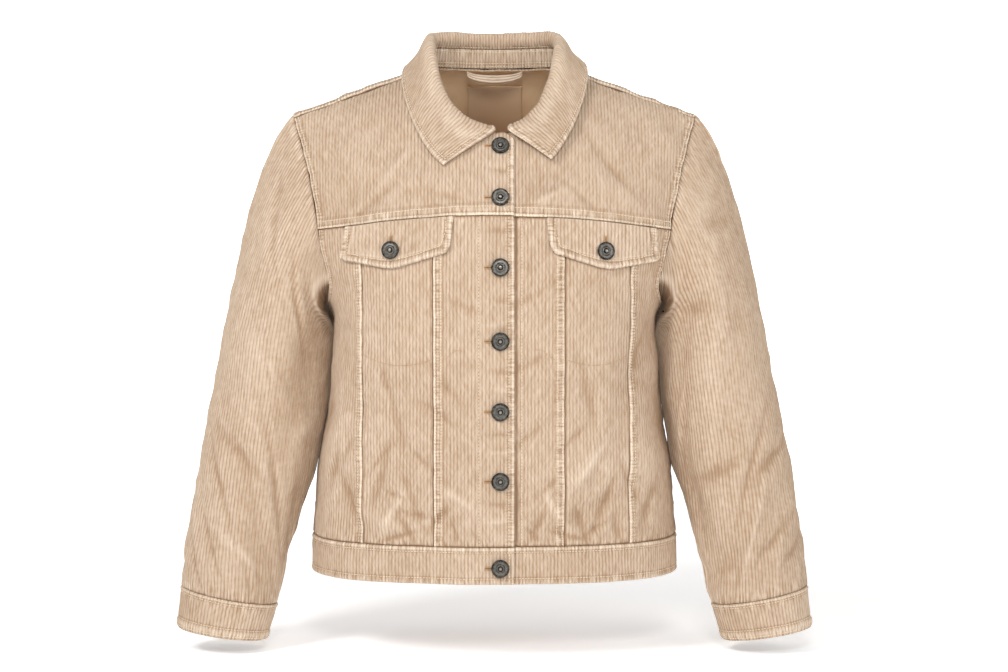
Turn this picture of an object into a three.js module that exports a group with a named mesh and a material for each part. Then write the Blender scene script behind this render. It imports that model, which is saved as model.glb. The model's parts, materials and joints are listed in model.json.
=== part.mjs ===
// A waist-length corduroy jacket with a turned-down collar, two flap pockets and seven shank buttons,
// filled out as on a wearer but with nobody in it: every cut piece is a wall of cloth round an open hollow.
//
// Units are millimetres. +Z is up, the front faces -Y and +X is the wearer's left.
// The origin lies between the two points where the shoulders meet the neck, which is where a wearer holds it up.
// Left and right are always the wearer's.
import * as THREE from "three";

// ---------------------------------------------------------------- driving dimensions

const cloth = {
  single: 1.8, // one layer of corduroy
  double: 3.0, // two layers: collar, flaps, cuffs, waistband and the turned-back front edges
  gap: 0.3, // between pieces that are sewn together
};

const neck = { half: 77, frontLevel: 70, backLevel: 2.2, frontRound: 1.3, backRound: 2.6 };
const shoulder = { slope: 0.3756, half: 209, ease: 12, lowEase: 44, ridgeBack: 22, seamLevel: 5 };
const armhole = { level: 245, frontCut: 0.5, backCut: 0.49, upperRound: 1.4, lowerRound: 0.7 };
const closure = { centre: 6.3, lap: 14, strip: 21.5, lift: 3.6, liftFrom: 70, liftTo: 27, corner: 10 };
const seams = { yoke: 153.5, waist: 489, hem: 527, inner: 66, outer: 137 };
const squareness = 0.03; // how boxy the body's sections are; 0 gives an ellipse
const topRound = { front: 1.7, back: 2.6 }; // how sharply the shoulders turn over to the front and back

// The body at each level below the neck: half its width, and its depth from the middle to the front and back
const bodySections = [
  { level: 0, half: 209, front: 118, back: 110 },
  { level: 60, half: 209, front: 118, back: 110 },
  { level: 110, half: 206, front: 118, back: 110 },
  { level: 160, half: 197, front: 118, back: 110 },
  { level: 200, half: 184, front: 118, back: 110 },
  { level: 225, half: 175.4, front: 118, back: 110 },
  { level: 245, half: 169.8, front: 118, back: 109.8 },
  { level: 265, half: 168.4, front: 117.8, back: 109.2 },
  { level: 300, half: 170.6, front: 116.6, back: 107 },
  { level: 350, half: 175, front: 114, back: 102 },
  { level: 400, half: 182, front: 111, back: 100 },
  { level: 450, half: 187.5, front: 109, back: 100 },
  { level: 500, half: 190.5, front: 108, back: 101 },
  { level: 530, half: 190.5, front: 108, back: 101 },
];

// Soft folds of the body: where each lies, how long and wide it is, how far it leans and how deep it is
const frontFolds = [
  { x: -150, level: 300, long: 60, wide: 13, lean: 12, depth: -2.6 },
  { x: -163, level: 400, long: 55, wide: 12, lean: -8, depth: 2.4 },
  { x: -148, level: 462, long: 40, wide: 12, lean: 24, depth: -2.4 },
  { x: -104, level: 468, long: 46, wide: 10, lean: 70, depth: 2.2 },
  { x: -48, level: 380, long: 48, wide: 12, lean: 38, depth: -1.8 },
  { x: -60, level: 118, long: 44, wide: 13, lean: 62, depth: 1.8 },
  { x: -128, level: 112, long: 50, wide: 14, lean: -58, depth: -1.8 },
  { x: 140, level: 318, long: 60, wide: 13, lean: -14, depth: -2.6 },
  { x: 158, level: 410, long: 50, wide: 12, lean: 10, depth: 2.6 },
  { x: 104, level: 452, long: 44, wide: 10, lean: -64, depth: -2.4 },
  { x: 82, level: 420, long: 36, wide: 11, lean: -40, depth: 2 },
  { x: 60, level: 110, long: 46, wide: 14, lean: -70, depth: -1.6 },
  { x: 128, level: 122, long: 50, wide: 13, lean: 55, depth: 1.8 },
];
const backFolds = [
  { x: -116, level: 225, long: 75, wide: 21, lean: -24, depth: -3.4 },
  { x: 118, level: 218, long: 78, wide: 21, lean: 22, depth: -3.4 },
  { x: -72, level: 175, long: 75, wide: 24, lean: -12, depth: 2.2 },
  { x: 76, level: 182, long: 78, wide: 24, lean: 14, depth: 2.2 },
  { x: -40, level: 420, long: 70, wide: 22, lean: 36, depth: -2.8 },
  { x: 52, level: 440, long: 64, wide: 20, lean: -42, depth: -2.8 },
  { x: 4, level: 330, long: 80, wide: 24, lean: 78, depth: 2.4 },
  { x: -136, level: 390, long: 64, wide: 19, lean: 10, depth: 2.8 },
  { x: 134, level: 378, long: 60, wide: 19, lean: -12, depth: 2.6 },
];

// The sleeve below the underarm: the centre of each section, half its width and depth, and how far it leans.
// "out" is measured from the middle of the body.
const sleeveSections = [
  { share: 0, out: 227.5, y: 0, z: -282, half: 55.8, deep: 61.8, lean: 12 },
  { share: 0.2, out: 233.5, y: -6, z: -336, half: 59.3, deep: 58.8, lean: 12 },
  { share: 0.4, out: 242.6, y: -11, z: -388, half: 60.6, deep: 55.8, lean: 12 },
  { share: 0.5, out: 248, y: -14, z: -413, half: 59.8, deep: 52.8, lean: 12 },
  { share: 0.6, out: 255, y: -17, z: -438, half: 56.8, deep: 50.3, lean: 12.5 },
  { share: 0.8, out: 267, y: -22, z: -493, half: 54.3, deep: 44.8, lean: 12 },
  { share: 1, out: 277.5, y: -27, z: -550, half: 50.3, deep: 39.8, lean: 11 },
];
const cuff = { out: 285, y: -32, z: -590, half: 46.7, deep: 34.7, lean: 8.5, proud: 0.4 };

// How the sleeve leaves the armhole, going round it: outwards, forwards and downwards
const capLeaves = [
  { turn: 0, out: 118, forward: 0, down: 112 },
  { turn: 0.5, out: 100, forward: 26, down: 70 },
  { turn: 1, out: 58, forward: 0, down: 6 },
  { turn: 1.5, out: 90, forward: -30, down: 72 },
  { turn: 2, out: 118, forward: 0, down: 112 },
];
const capArrival = 150; // how long the sleeve keeps its lean above the underarm section

// Folds of the right sleeve, and of the left one: how far down and round each lies, and its size
const sleeveFolds = {
  right: [
    { down: 120, turn: 0.72, long: 80, wide: 13, lean: -10, depth: -5 },
    { down: 205, turn: 0.86, long: 90, wide: 13, lean: 8, depth: -4.4 },
    { down: 150, turn: 0.5, long: 70, wide: 14, lean: -16, depth: 3.2 },
    { down: 300, turn: 0.62, long: 50, wide: 12, lean: 52, depth: -3.6 },
    { down: 345, turn: 0.8, long: 48, wide: 12, lean: 64, depth: -3.6 },
    { down: 392, turn: 0.45, long: 46, wide: 11, lean: -48, depth: 2.6 },
    { down: 330, turn: 1.3, long: 52, wide: 12, lean: 60, depth: -3 },
    { down: 180, turn: 1.4, long: 70, wide: 14, lean: 14, depth: -3.4 },
    { down: 470, turn: 0.7, long: 32, wide: 10, lean: 70, depth: -2.4 },
  ],
  left: [
    { down: 125, turn: 0.75, long: 84, wide: 13, lean: 8, depth: -5 },
    { down: 215, turn: 0.84, long: 80, wide: 13, lean: -8, depth: -4.6 },
    { down: 160, turn: 0.52, long: 80, wide: 14, lean: 14, depth: 3 },
    { down: 318, turn: 0.74, long: 50, wide: 12, lean: -56, depth: -3.8 },
    { down: 362, turn: 0.6, long: 44, wide: 12, lean: -44, depth: -3 },
    { down: 410, turn: 0.82, long: 46, wide: 11, lean: 58, depth: 2.6 },
    { down: 325, turn: 1.32, long: 52, wide: 12, lean: -58, depth: -3 },
    { down: 190, turn: 1.38, long: 70, wide: 14, lean: -12, depth: -3.4 },
    { down: 455, turn: 0.5, long: 34, wide: 10, lean: -66, depth: -2.2 },
  ],
};

// The collar along half the neck seam, from the front (share 0) to the middle of the back (1): how high its stand
// and its roll rise, how far the roll leans in, and where its outer edge lies. A level below 0 is on the back.
const collarSections = [
  { share: 0, stand: 1.6, rise: 1.6, lean: 0, roll: 2.6, x: 51, level: 103, clear: 4.6 },
  { share: 0.13, stand: 3, rise: 4, lean: 1, roll: 3.2, x: 64, level: 89, clear: 4.6 },
  { share: 0.28, stand: 7, rise: 12, lean: 5, roll: 4.2, x: 78, level: 66, clear: 4.2 },
  { share: 0.42, stand: 12, rise: 21, lean: 8, roll: 4.4, x: 88, level: 42, clear: 4 },
  { share: 0.54, stand: 16, rise: 27, lean: 10, roll: 4, x: 93.5, level: 22, clear: 4 },
  { share: 0.64, stand: 19, rise: 31, lean: 11, roll: 3.8, x: 94.5, level: 5, clear: 4.4 },
  { share: 0.72, stand: 21, rise: 33, lean: 9, roll: 3.8, x: 86, level: -7, clear: 5 },
  { share: 0.81, stand: 21.5, rise: 33, lean: 5, roll: 4.2, x: 64, level: -16, clear: 5 },
  { share: 0.915, stand: 21.5, rise: 32.5, lean: 1.5, roll: 4.4, x: 28, level: -21, clear: 5 },
  { share: 1, stand: 21.5, rise: 32.5, lean: 0, roll: 4.4, x: 0, level: -22, clear: 5 },
];
const collar = { rightEnd: -5.3, leftEnd: 7.7, frontClear: 8.6, frontShare: 0.26 };

// A flap: where it hangs from, and its lower corners and point, across from the closure and down from the yoke
const flap = { top: 1.2, nearTop: 46.5, farTop: 157, near: 50.5, nearDrop: 36, peak: 109, drop: 52.5, far: 161, farDrop: 38 };
const flapLift = 0.9; // the gap between a flap and the panels under it
const button = { radius: 8.8, height: 3.4, shank: 3.2, sides: 12 };
const frontButtonLevels = [84.5, 136, 205.5, 279, 350, 421, 510];
const flapButton = { level: 185.5, across: 107, shift: -1.9 };
const loop = { half: 29.5, top: -4.4, height: 9, endHeight: 5.4, sag: 2.8, bow: 3.5, thick: 2 };
const label = { half: 29, top: -19.5, bottom: -68, thick: 1, lift: 1 };

const stripShares = [0, 0.13, 0.3, 1]; // where the columns of the turned-back front edges lie

// How many steps each stretch is divided into
const steps = {
  cap: 9,
  arm: 15,
  armSeam: 2,
  armUpper: 8,
  armLower: 6,
  armBack: 14,
  lower: 10,
  centre: 3,
  middle: 5,
  side: 5,
  neckSide: 5,
  shoulder: 6,
  backMiddle: 5,
  collarSide: 15,
};

const colours = { cord: 0xd9bf9f, wrongSide: 0xb7977a, metal: 0x4a4f52 };

// ---------------------------------------------------------------- small helpers

const { sin, cos, abs, PI, min, max, sqrt } = Math;
const radians = (degrees) => (degrees * PI) / 180;
const mix = (a, b, share) => a + (b - a) * share;
const soft = (from, to, value) => {
  const share = min(max((value - from) / (to - from), 0), 1);
  return share * share * (3 - 2 * share);
};
const range = (count) => Array.from({ length: count }, (_, i) => i);
const vector = (x, y, z) => new THREE.Vector3(x, y, z);

// Reads a table at any value of its key column, on a smooth curve through its rows
function reader(rows, key) {
  const keys = rows.map((row) => row[key]);
  const last = rows.length - 1;
  const slope = (i, column) => {
    const [a, b] = [max(i - 1, 0), min(i + 1, last)];
    return (rows[b][column] - rows[a][column]) / (keys[b] - keys[a]);
  };
  return (value, column) => {
    const at = min(max(value, keys[0]), keys[last]);
    const i = min(max(keys.findIndex((k) => k >= at) - 1, 0), last - 1);
    const span = keys[i + 1] - keys[i];
    const t = (at - keys[i]) / span;
    const [a, b] = [rows[i][column], rows[i + 1][column]];
    const [p, q] = [slope(i, column) * span, slope(i + 1, column) * span];
    return a + t * (p + t * (3 * (b - a) - 2 * p - q + t * (2 * (a - b) + p + q)));
  };
}

// Height of the folds that cover a place, with (across, down) in mm
function foldHeight(folds, across, down) {
  return folds.reduce((sum, fold) => {
    const [dx, dz] = [across - fold.x, down - fold.level];
    const turn = radians(fold.lean);
    const along = dx * sin(turn) + dz * cos(turn);
    const over = dx * cos(turn) - dz * sin(turn);
    return sum + fold.depth * Math.exp(-((along / fold.long) ** 2) - (over / fold.wide) ** 2);
  }, 0);
}

// ---------------------------------------------------------------- the body's form

const bodyAt = reader(bodySections, "level");

// Height of the shoulder line: level at the neck, then sloping down to the shoulder, with a bend that grows
// softer further down
function ridgeHeight(x, level = 0) {
  const out = abs(x) - neck.half;
  const ease = mix(shoulder.ease, shoulder.lowEase, soft(0, 110, level));
  return -shoulder.slope * 0.5 * (out + sqrt(out * out + ease * ease));
}

// A point of the body's outer face. The angle is 0 at the front, 90 degrees at the left side and 180 at the back.
// The level counts down from the shoulder line, and below 0 it has passed over the shoulder to the other face.
function bodyPoint(angle, level) {
  if (level < 0) return bodyPoint(Math.sign(angle || 1) * PI - angle, -level);
  const face = abs(angle) > PI / 2 ? "back" : "front";
  const across = (sin(angle) + squareness * sin(3 * angle)) / (1 - squareness);
  const ahead = (cos(angle) - squareness * cos(3 * angle)) / (1 - squareness);
  const x = bodyAt(level, "half") * across;
  const drop = min(level / armhole.level, 1);
  const fullness = (1 - (1 - drop) ** topRound[face]) ** (1 / topRound[face]);
  const ridgeY = shoulder.ridgeBack * (1 - (x / shoulder.half) ** 2);
  return vector(
    x,
    ridgeY * (1 - fullness) - bodyAt(level, face) * ahead * fullness,
    ridgeHeight(x, level) * (1 - drop) - level,
  );
}

function bodyNormal(angle, level) {
  const [turn, climb] = [0.01, 0.4];
  const round = bodyPoint(angle + turn, level).sub(bodyPoint(angle - turn, level));
  const up = bodyPoint(angle, level - climb).sub(bodyPoint(angle, level + climb));
  // the end of the shoulder line is a point, so its normal is read a little way in from it
  return round.length() < 1e-3 ? bodyNormal(angle * 0.96, level) : round.cross(up).normalize();
}

// The angle at which the front face lies at x, found by Newton's method
function frontAngle(x, level) {
  const aim = (x / bodyAt(level, "half")) * (1 - squareness);
  let angle = Math.asin(min(max(aim, -1), 1));
  for (let i = 0; i < 6; i++) {
    const miss = sin(angle) + squareness * sin(3 * angle) - aim;
    angle -= miss / max(cos(angle) + 3 * squareness * cos(3 * angle), 0.05);
  }
  return angle;
}
const onFront = (x, level) => ({ angle: frontAngle(x, level), level });

// The right front lies over the left one, so it is lifted towards its edge
const lapLift = (x) => closure.lift * soft(-closure.liftFrom, -closure.liftTo, x);

// The body's outer face with its folds, moved out by a height
function dressed(place, lifted, height = 0) {
  const point = bodyPoint(place.angle, place.level);
  const normal = bodyNormal(place.angle, place.level);
  const behind = abs(place.angle) > PI / 2 || place.level < 0;
  const fade = soft(0, 60, abs(place.level));
  const fold = foldHeight(behind ? backFolds : frontFolds, point.x, place.level) * fade;
  const lift = lifted && !behind ? lapLift(point.x) : 0;
  return { point: point.addScaledVector(normal, fold + lift + height), normal };
}

// ---------------------------------------------------------------- the neck and the armholes

// The neck seam, from 0 degrees at the front to 180 at the back. Side is 1 on the left and -1 on the right.
function neckPlace(turn, side) {
  const t = radians(turn);
  const x = side * neck.half * sin(t);
  if (turn > 90) {
    const level = neck.backLevel * abs(cos(t)) ** neck.backRound;
    return { angle: side * PI - frontAngle(x, level), level };
  }
  return onFront(x, neck.frontLevel * abs(cos(t)) ** neck.frontRound);
}
const neckTurn = (x) => (Math.asin(min(abs(x) / neck.half, 1)) * 180) / PI;
const neckSeamTurn = 82.4; // where the shoulder seam meets the neck

// The turn at each share of the way from the front to the back along the neck seam
const neckRuns = [0];
for (let i = 1; i <= 720; i++) {
  const [from, to] = [i - 1, i].map((k) => neckPlace(k / 4, 1));
  neckRuns.push(neckRuns[i - 1] + bodyPoint(to.angle, to.level).distanceTo(bodyPoint(from.angle, from.level)));
}
const neckShare = (turn) => (Math.sign(turn) * neckRuns[Math.round(abs(turn) * 4)]) / neckRuns[720];
function neckTurnAt(share) {
  const run = min(abs(share), 1) * neckRuns[720];
  const i = max(neckRuns.findIndex((r) => r >= run - 1e-9), 1);
  return (Math.sign(share) * (i - 1 + (run - neckRuns[i - 1]) / (neckRuns[i] - neckRuns[i - 1]))) / 4;
}

// The armhole as places on the body, from the top down the front (0 to 1) and up the back (1 to 2)
function armholeLoop() {
  const samples = range(721).map((i) => {
    const turn = (i / 360) * PI;
    const cut = turn < PI ? armhole.frontCut : armhole.backCut;
    const inward = cut * abs(sin(turn)) ** (cos(turn) > 0 ? armhole.upperRound : armhole.lowerRound);
    const level = (armhole.level * (1 - cos(turn))) / 2;
    return { angle: turn < PI ? PI / 2 - inward : PI / 2 + inward, level };
  });
  const half = samples.length >> 1;
  const points = samples.map((place) => bodyPoint(place.angle, place.level));
  const runs = [0];
  for (let i = 1; i < points.length; i++) runs.push(runs[i - 1] + points[i].distanceTo(points[i - 1]));
  const pick = (run) => {
    const i = min(max(runs.findIndex((r) => r >= run), 1), runs.length - 1);
    const share = (run - runs[i - 1]) / (runs[i] - runs[i - 1]);
    return {
      angle: mix(samples[i - 1].angle, samples[i].angle, share),
      level: mix(samples[i - 1].level, samples[i].level, share),
    };
  };
  const runAtLevel = (level) => {
    const i = samples.findIndex((place) => place.level >= level);
    const share = (level - samples[i - 1].level) / (samples[i].level - samples[i - 1].level);
    return mix(runs[i - 1], runs[i], share);
  };
  const stops = [
    [0, 0],
    [runAtLevel(shoulder.seamLevel), steps.armSeam],
    [runAtLevel(seams.yoke), steps.armUpper],
    [runs[half], steps.armLower],
    [runs[runs.length - 1], steps.armBack],
  ];
  const places = [];
  stops.slice(1).forEach(([run, count], i) => {
    const from = stops[i][0];
    range(count).forEach((k) => places.push({ ...pick(mix(from, run, k / count)), run: mix(from, run, k / count) }));
  });
  return places.map((place) => ({
    ...place,
    turn: place.run <= runs[half] ? place.run / runs[half] : 1 + (place.run - runs[half]) / (runs[720] - runs[half]),
  }));
}
const armPlaces = armholeLoop();
const armStops = {
  seam: steps.armSeam,
  yoke: steps.armSeam + steps.armUpper,
  bottom: steps.armSeam + steps.armUpper + steps.armLower,
};
const mirrored = (place, side) => ({ ...place, angle: place.angle * side });

// ---------------------------------------------------------------- walls of cloth

// Closed geometry between an outer and an inner net of points, both [row][column]; a ring joins its last column
// to its first
function wallGeometry(outer, inner, ring = false) {
  const [rows, columns] = [outer.length, outer[0].length];
  const points = [...outer.flat(), ...inner.flat()];
  const faces = [];
  // a quad is split along its shorter diagonal, which keeps folds and narrow quads smooth
  const quad = (a, b, c, d) => {
    const short = points[a].distanceTo(points[c]) <= points[b].distanceTo(points[d]);
    faces.push(...(short ? [a, b, c, a, c, d] : [a, b, d, b, c, d]));
  };
  const near = (r, c) => r * columns + (c % columns);
  const far = (r, c) => rows * columns + near(r, c);
  const lastColumn = ring ? columns : columns - 1;
  for (let r = 0; r < rows - 1; r++) {
    for (let c = 0; c < lastColumn; c++) {
      quad(near(r, c), near(r, c + 1), near(r + 1, c + 1), near(r + 1, c));
      quad(far(r, c), far(r + 1, c), far(r + 1, c + 1), far(r, c + 1));
    }
  }
  for (let c = 0; c < lastColumn; c++) {
    quad(near(0, c), far(0, c), far(0, c + 1), near(0, c + 1));
    quad(near(rows - 1, c), near(rows - 1, c + 1), far(rows - 1, c + 1), far(rows - 1, c));
  }
  if (!ring) {
    for (let r = 0; r < rows - 1; r++) {
      quad(near(r, 0), near(r + 1, 0), far(r + 1, 0), far(r, 0));
      quad(near(r, lastColumn), far(r, lastColumn), far(r + 1, lastColumn), near(r + 1, lastColumn));
    }
  }
  if (volumeOf(points, faces) < 0) faces.reverse();
  const geometry = new THREE.BufferGeometry();
  geometry.setAttribute("position", new THREE.Float32BufferAttribute(points.flatMap((p) => [p.x, p.y, p.z]), 3));
  geometry.setIndex(faces);
  geometry.computeVertexNormals();
  return geometry;
}

function volumeOf(points, faces) {
  let volume = 0;
  for (let i = 0; i < faces.length; i += 3) {
    const [a, b, c] = [0, 1, 2].map((k) => points[faces[i + k]]);
    volume += a.dot(b.clone().cross(c)) / 6;
  }
  return volume;
}

// Draws the named edges of a net in by half a seam gap, along the net
function drawIn(net, edges, by = cloth.gap * 0.6) {
  const [bottom, right] = [net.length - 1, net[0].length - 1];
  const pull = (node, next) => {
    const way = next.point.clone().sub(node.point).normalize();
    node.point.addScaledVector(way, by);
  };
  net.forEach((row, r) =>
    row.forEach((node, c) => {
      if (edges.first && r === 0) pull(node, net[1][c]);
      if (edges.last && r === bottom) pull(node, net[bottom - 1][c]);
      if (edges.left && c === 0) pull(node, row[1]);
      if (edges.right && c === right) pull(node, row[right - 1]);
    }),
  );
  return net;
}

// A wall that keeps the net as its outer face; its thickness may change from column to column
function sheetWall(net, thickness) {
  const thick = typeof thickness === "function" ? thickness : () => thickness;
  const outer = net.map((row) => row.map((node) => node.point));
  const inner = net.map((row) => row.map((n, c) => n.point.clone().addScaledVector(n.normal, -thick(c))));
  return wallGeometry(outer, inner);
}

// Fills four edges, given as lists of places at matching steps, as a smooth net of places
function fill(first, last, left, right) {
  const [rows, columns] = [left.length - 1, first.length - 1];
  const blend = (key, r, c) => {
    const [v, u] = [r / rows, c / columns];
    const along = mix(first[c][key], last[c][key], v) + mix(left[r][key], right[r][key], u);
    const corners = mix(mix(first[0][key], first[columns][key], u), mix(last[0][key], last[columns][key], u), v);
    return along - corners;
  };
  return range(rows + 1).map((r) =>
    range(columns + 1).map((c) => ({ angle: blend("angle", r, c), level: blend("level", r, c) })),
  );
}

// ---------------------------------------------------------------- the group and its materials

const jacket = new THREE.Group();
jacket.name = "corduroy_jacket";

const corduroy = new THREE.MeshStandardMaterial({ color: colours.cord, roughness: 0.92 });
const plainCloth = new THREE.MeshStandardMaterial({ color: colours.wrongSide, roughness: 0.85 });
const gunmetal = new THREE.MeshStandardMaterial({ color: colours.metal, roughness: 0.38, metalness: 0.9 });

function addPiece(name, geometry, material = corduroy) {
  const piece = new THREE.Mesh(geometry, material);
  piece.name = name;
  jacket.add(piece);
  return piece;
}

// x of each column of a turned-back front edge, from the edge to the line where it ends
const stripColumns = (lines) => stripShares.map((share) => mix(lines.edge, lines.strip, share));
const stripThickness = (column) => (column < stripShares.length ? cloth.double : cloth.single);

const sides = [
  { name: "right", side: -1, lifted: true },
  { name: "left", side: 1, lifted: false },
];

// ---------------------------------------------------------------- fronts

// x of the front edge, of the line where its turned-back strip ends, and of the two long seams, on either side
function frontLines(side) {
  return {
    edge: closure.centre - side * closure.lap,
    strip: closure.centre + side * closure.strip,
    inner: closure.centre * 0.8 + side * seams.inner,
    outer: closure.centre * 0.3 + side * seams.outer,
  };
}

// Levels of the rows between the waist seam and the yoke seam
const lowerLevels = [
  ...range(steps.lower).map((i) => mix(seams.waist, armhole.level, i / steps.lower)),
  ...range(steps.armLower + 1).map((i) => mix(armhole.level, seams.yoke, i / steps.armLower)),
];

// x values across a piece, in steps between its stops
function spread(stops, counts) {
  const values = [stops[0]];
  counts.forEach((count, i) =>
    range(count).forEach((k) => values.push(mix(stops[i], stops[i + 1], (k + 1) / count))),
  );
  return values;
}

function buildYoke({ name, side, lifted }) {
  const lines = frontLines(side);
  const bottomEnd = mirrored(armPlaces[armStops.yoke], side);
  const bottomX = bodyPoint(bottomEnd.angle, bottomEnd.level).x;
  const columns = steps.neckSide + steps.shoulder;
  const strip = stripColumns(lines);
  const bottom = [...strip, ...spread([lines.strip, bottomX], [columns]).slice(1)].map((x) => onFront(x, seams.yoke));
  const corner = strip.slice(0, -1).map((x, i) => {
    const rounding = closure.corner * (1 - stripShares[i] / 0.35) ** 2;
    return onFront(x, neckPlace(neckTurn(x), side).level + rounding);
  });
  const stripTurn = neckTurn(lines.strip);
  const neckRow = range(steps.neckSide + 1).map((i) =>
    neckPlace(mix(stripTurn, neckSeamTurn, i / steps.neckSide), side),
  );
  const seamEnd = mirrored(armPlaces[armStops.seam], side);
  const seamStart = neckRow[steps.neckSide];
  const seamRow = range(steps.shoulder).map((i) => {
    const share = (i + 1) / steps.shoulder;
    return { angle: mix(seamStart.angle, seamEnd.angle, share), level: shoulder.seamLevel };
  });
  const top = [...corner, ...neckRow, ...seamRow];
  const rise = range(steps.armUpper + 1);
  const left = rise.map((i) => onFront(lines.edge, mix(seams.yoke, corner[0].level, i / steps.armUpper)));
  const right = rise.map((i) => mirrored(armPlaces[armStops.yoke - i], side));
  const net = fill(bottom, top, left, right).map((row) => row.map((place) => dressed(place, lifted)));
  drawIn(net, { first: true }, cloth.gap);
  addPiece(`front_yoke_${name}`, sheetWall(net, stripThickness));
}

function buildFrontPanels({ name, side, lifted }) {
  const lines = frontLines(side);
  const panelNet = (xs) => lowerLevels.map((level) => xs.map((x) => dressed(onFront(x, level), lifted)));
  const centreNet = panelNet([...stripColumns(lines), ...spread([lines.strip, lines.inner], [steps.centre]).slice(1)]);
  drawIn(centreNet, { first: true, last: true, right: true });
  addPiece(`front_centre_${name}`, sheetWall(centreNet, stripThickness));
  const middleNet = panelNet(spread([lines.inner, lines.outer], [steps.middle]));
  drawIn(middleNet, { first: true, last: true, left: true, right: true });
  addPiece(`front_middle_${name}`, sheetWall(middleNet, cloth.single));

  const sideLine = side * (PI / 2);
  const across = (from, to, level) =>
    range(steps.side + 1).map((i) => ({ angle: mix(from, to, i / steps.side), level }));
  const first = across(frontAngle(lines.outer, seams.waist), sideLine, seams.waist);
  const armEnd = mirrored(armPlaces[armStops.yoke], side);
  const last = across(frontAngle(lines.outer, seams.yoke), armEnd.angle, seams.yoke);
  const left = lowerLevels.map((level) => onFront(lines.outer, level));
  const right = lowerLevels.map((level, row) =>
    row < steps.lower ? { angle: sideLine, level } : mirrored(armPlaces[armStops.bottom - (row - steps.lower)], side),
  );
  const sideNet = fill(first, last, left, right).map((row) => row.map((place) => dressed(place, lifted)));
  drawIn(sideNet, { first: true, last: true, left: true });
  drawIn(sideNet.slice(0, steps.lower + 1), { right: true });
  addPiece(`front_side_${name}`, sheetWall(sideNet, cloth.single));
}

// ---------------------------------------------------------------- back

function buildBack() {
  const armRise = range(steps.armBack + steps.armSeam + 1);
  const armPlace = (i) => {
    const index = armStops.bottom + i;
    if (index < armPlaces.length) return armPlaces[index];
    const over = armPlaces[index - armPlaces.length];
    return { angle: PI - over.angle, level: -over.level };
  };
  const lowerRows = range(steps.lower).map((i) => ({
    angle: PI / 2,
    level: mix(seams.waist, armhole.level, i / steps.lower),
  }));
  const leftEdge = [...lowerRows, ...armRise.map(armPlace)];
  // places of the back are kept as a turn from the left side (90 degrees) round to the right one (270)
  const toRight = (place) => ({ angle: 2 * PI - place.angle, level: place.level });
  const rightEdge = leftEdge.map(toRight);
  const halfColumns = steps.shoulder + steps.backMiddle;
  const seamEnd = leftEdge[leftEdge.length - 1];
  const neckStart = neckPlace(neckSeamTurn, 1);
  const seamStart = { angle: PI - neckStart.angle, level: -shoulder.seamLevel };
  const seamRow = range(steps.shoulder).map((i) => ({
    angle: mix(seamEnd.angle, seamStart.angle, i / steps.shoulder),
    level: -shoulder.seamLevel,
  }));
  const neckRow = range(steps.backMiddle + 1).map((i) => {
    const place = neckPlace(mix(neckSeamTurn, 180, i / steps.backMiddle), 1);
    return place.angle < PI / 2 ? { angle: PI - place.angle, level: -place.level } : place;
  });
  const topHalf = [...seamRow, ...neckRow];
  const top = [...topHalf, ...topHalf.slice(0, -1).reverse().map(toRight)];
  const bottom = range(2 * halfColumns + 1).map((i) => ({
    angle: mix(PI / 2, 1.5 * PI, i / (2 * halfColumns)),
    level: seams.waist,
  }));
  const signed = (place) => (place.angle > PI ? { ...place, angle: place.angle - 2 * PI } : place);
  // at the armholes the rows follow the armhole's steps and one follows the shoulder line; below the neck they
  // are evenly spaced
  const evened = (place, r, c) => {
    const up = r - steps.lower;
    if (up <= 0 || r === leftEdge.length - 1) return place;
    const middle = sin((PI * c) / (2 * halfColumns));
    const shift = up < steps.armBack ? armhole.level * (1 - up / steps.armBack) - leftEdge[r].level : 0;
    const even = mix(armhole.level, top[c].level, up / (steps.armBack + steps.armSeam));
    return { ...place, level: mix(place.level + shift * middle ** 1.5, even, soft(0.7, 0.9, middle)) };
  };
  const places = fill(bottom, top, leftEdge, rightEdge).map((row, r) => row.map((place, c) => evened(place, r, c)));
  const net = places.map((row) => row.map((place) => dressed(signed(place), false)));
  drawIn(net, { first: true });
  drawIn(net, { last: true }, cloth.gap);
  drawIn(net.slice(0, steps.lower + 1), { left: true, right: true });
  addPiece("back", sheetWall(net, cloth.single));
}

// ---------------------------------------------------------------- waistband

function buildWaistband() {
  const right = frontLines(-1);
  const left = frontLines(1);
  const proud = 0.9;
  const turnsFrom = (from, to, count) => range(count).map((i) => mix(from, to, (i + 1) / count));
  const angleAt = (x) => frontAngle(x, seams.waist);
  const half = steps.shoulder + steps.backMiddle;
  // one strip from the right front's edge, round the right side and the back, to the left front's edge
  const angles = [
    angleAt(right.edge),
    ...turnsFrom(angleAt(right.edge), angleAt(right.strip), 2),
    ...turnsFrom(angleAt(right.strip), angleAt(right.inner), steps.centre),
    ...turnsFrom(angleAt(right.inner), angleAt(right.outer), steps.middle),
    ...turnsFrom(angleAt(right.outer), -PI / 2, steps.side),
    ...turnsFrom(-PI / 2, -1.5 * PI, 2 * half),
    ...turnsFrom(-1.5 * PI, angleAt(left.outer) - 2 * PI, steps.side),
    ...turnsFrom(angleAt(left.outer) - 2 * PI, angleAt(left.inner) - 2 * PI, steps.middle),
    ...turnsFrom(angleAt(left.inner) - 2 * PI, angleAt(left.strip) - 2 * PI, steps.centre),
    ...turnsFrom(angleAt(left.strip) - 2 * PI, angleAt(left.edge) - 2 * PI, 2),
  ];
  const levels = [seams.waist + cloth.gap, mix(seams.waist, seams.hem, 0.5), seams.hem];
  const net = levels.map((level) =>
    angles.map((angle) => {
      const lifted = angle > -PI / 2;
      return dressed({ angle: angle < -PI ? angle + 2 * PI : angle, level }, lifted, proud);
    }),
  );
  addPiece("waistband", sheetWall(net, cloth.double));
}

// ---------------------------------------------------------------- sleeves and cuffs

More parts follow.
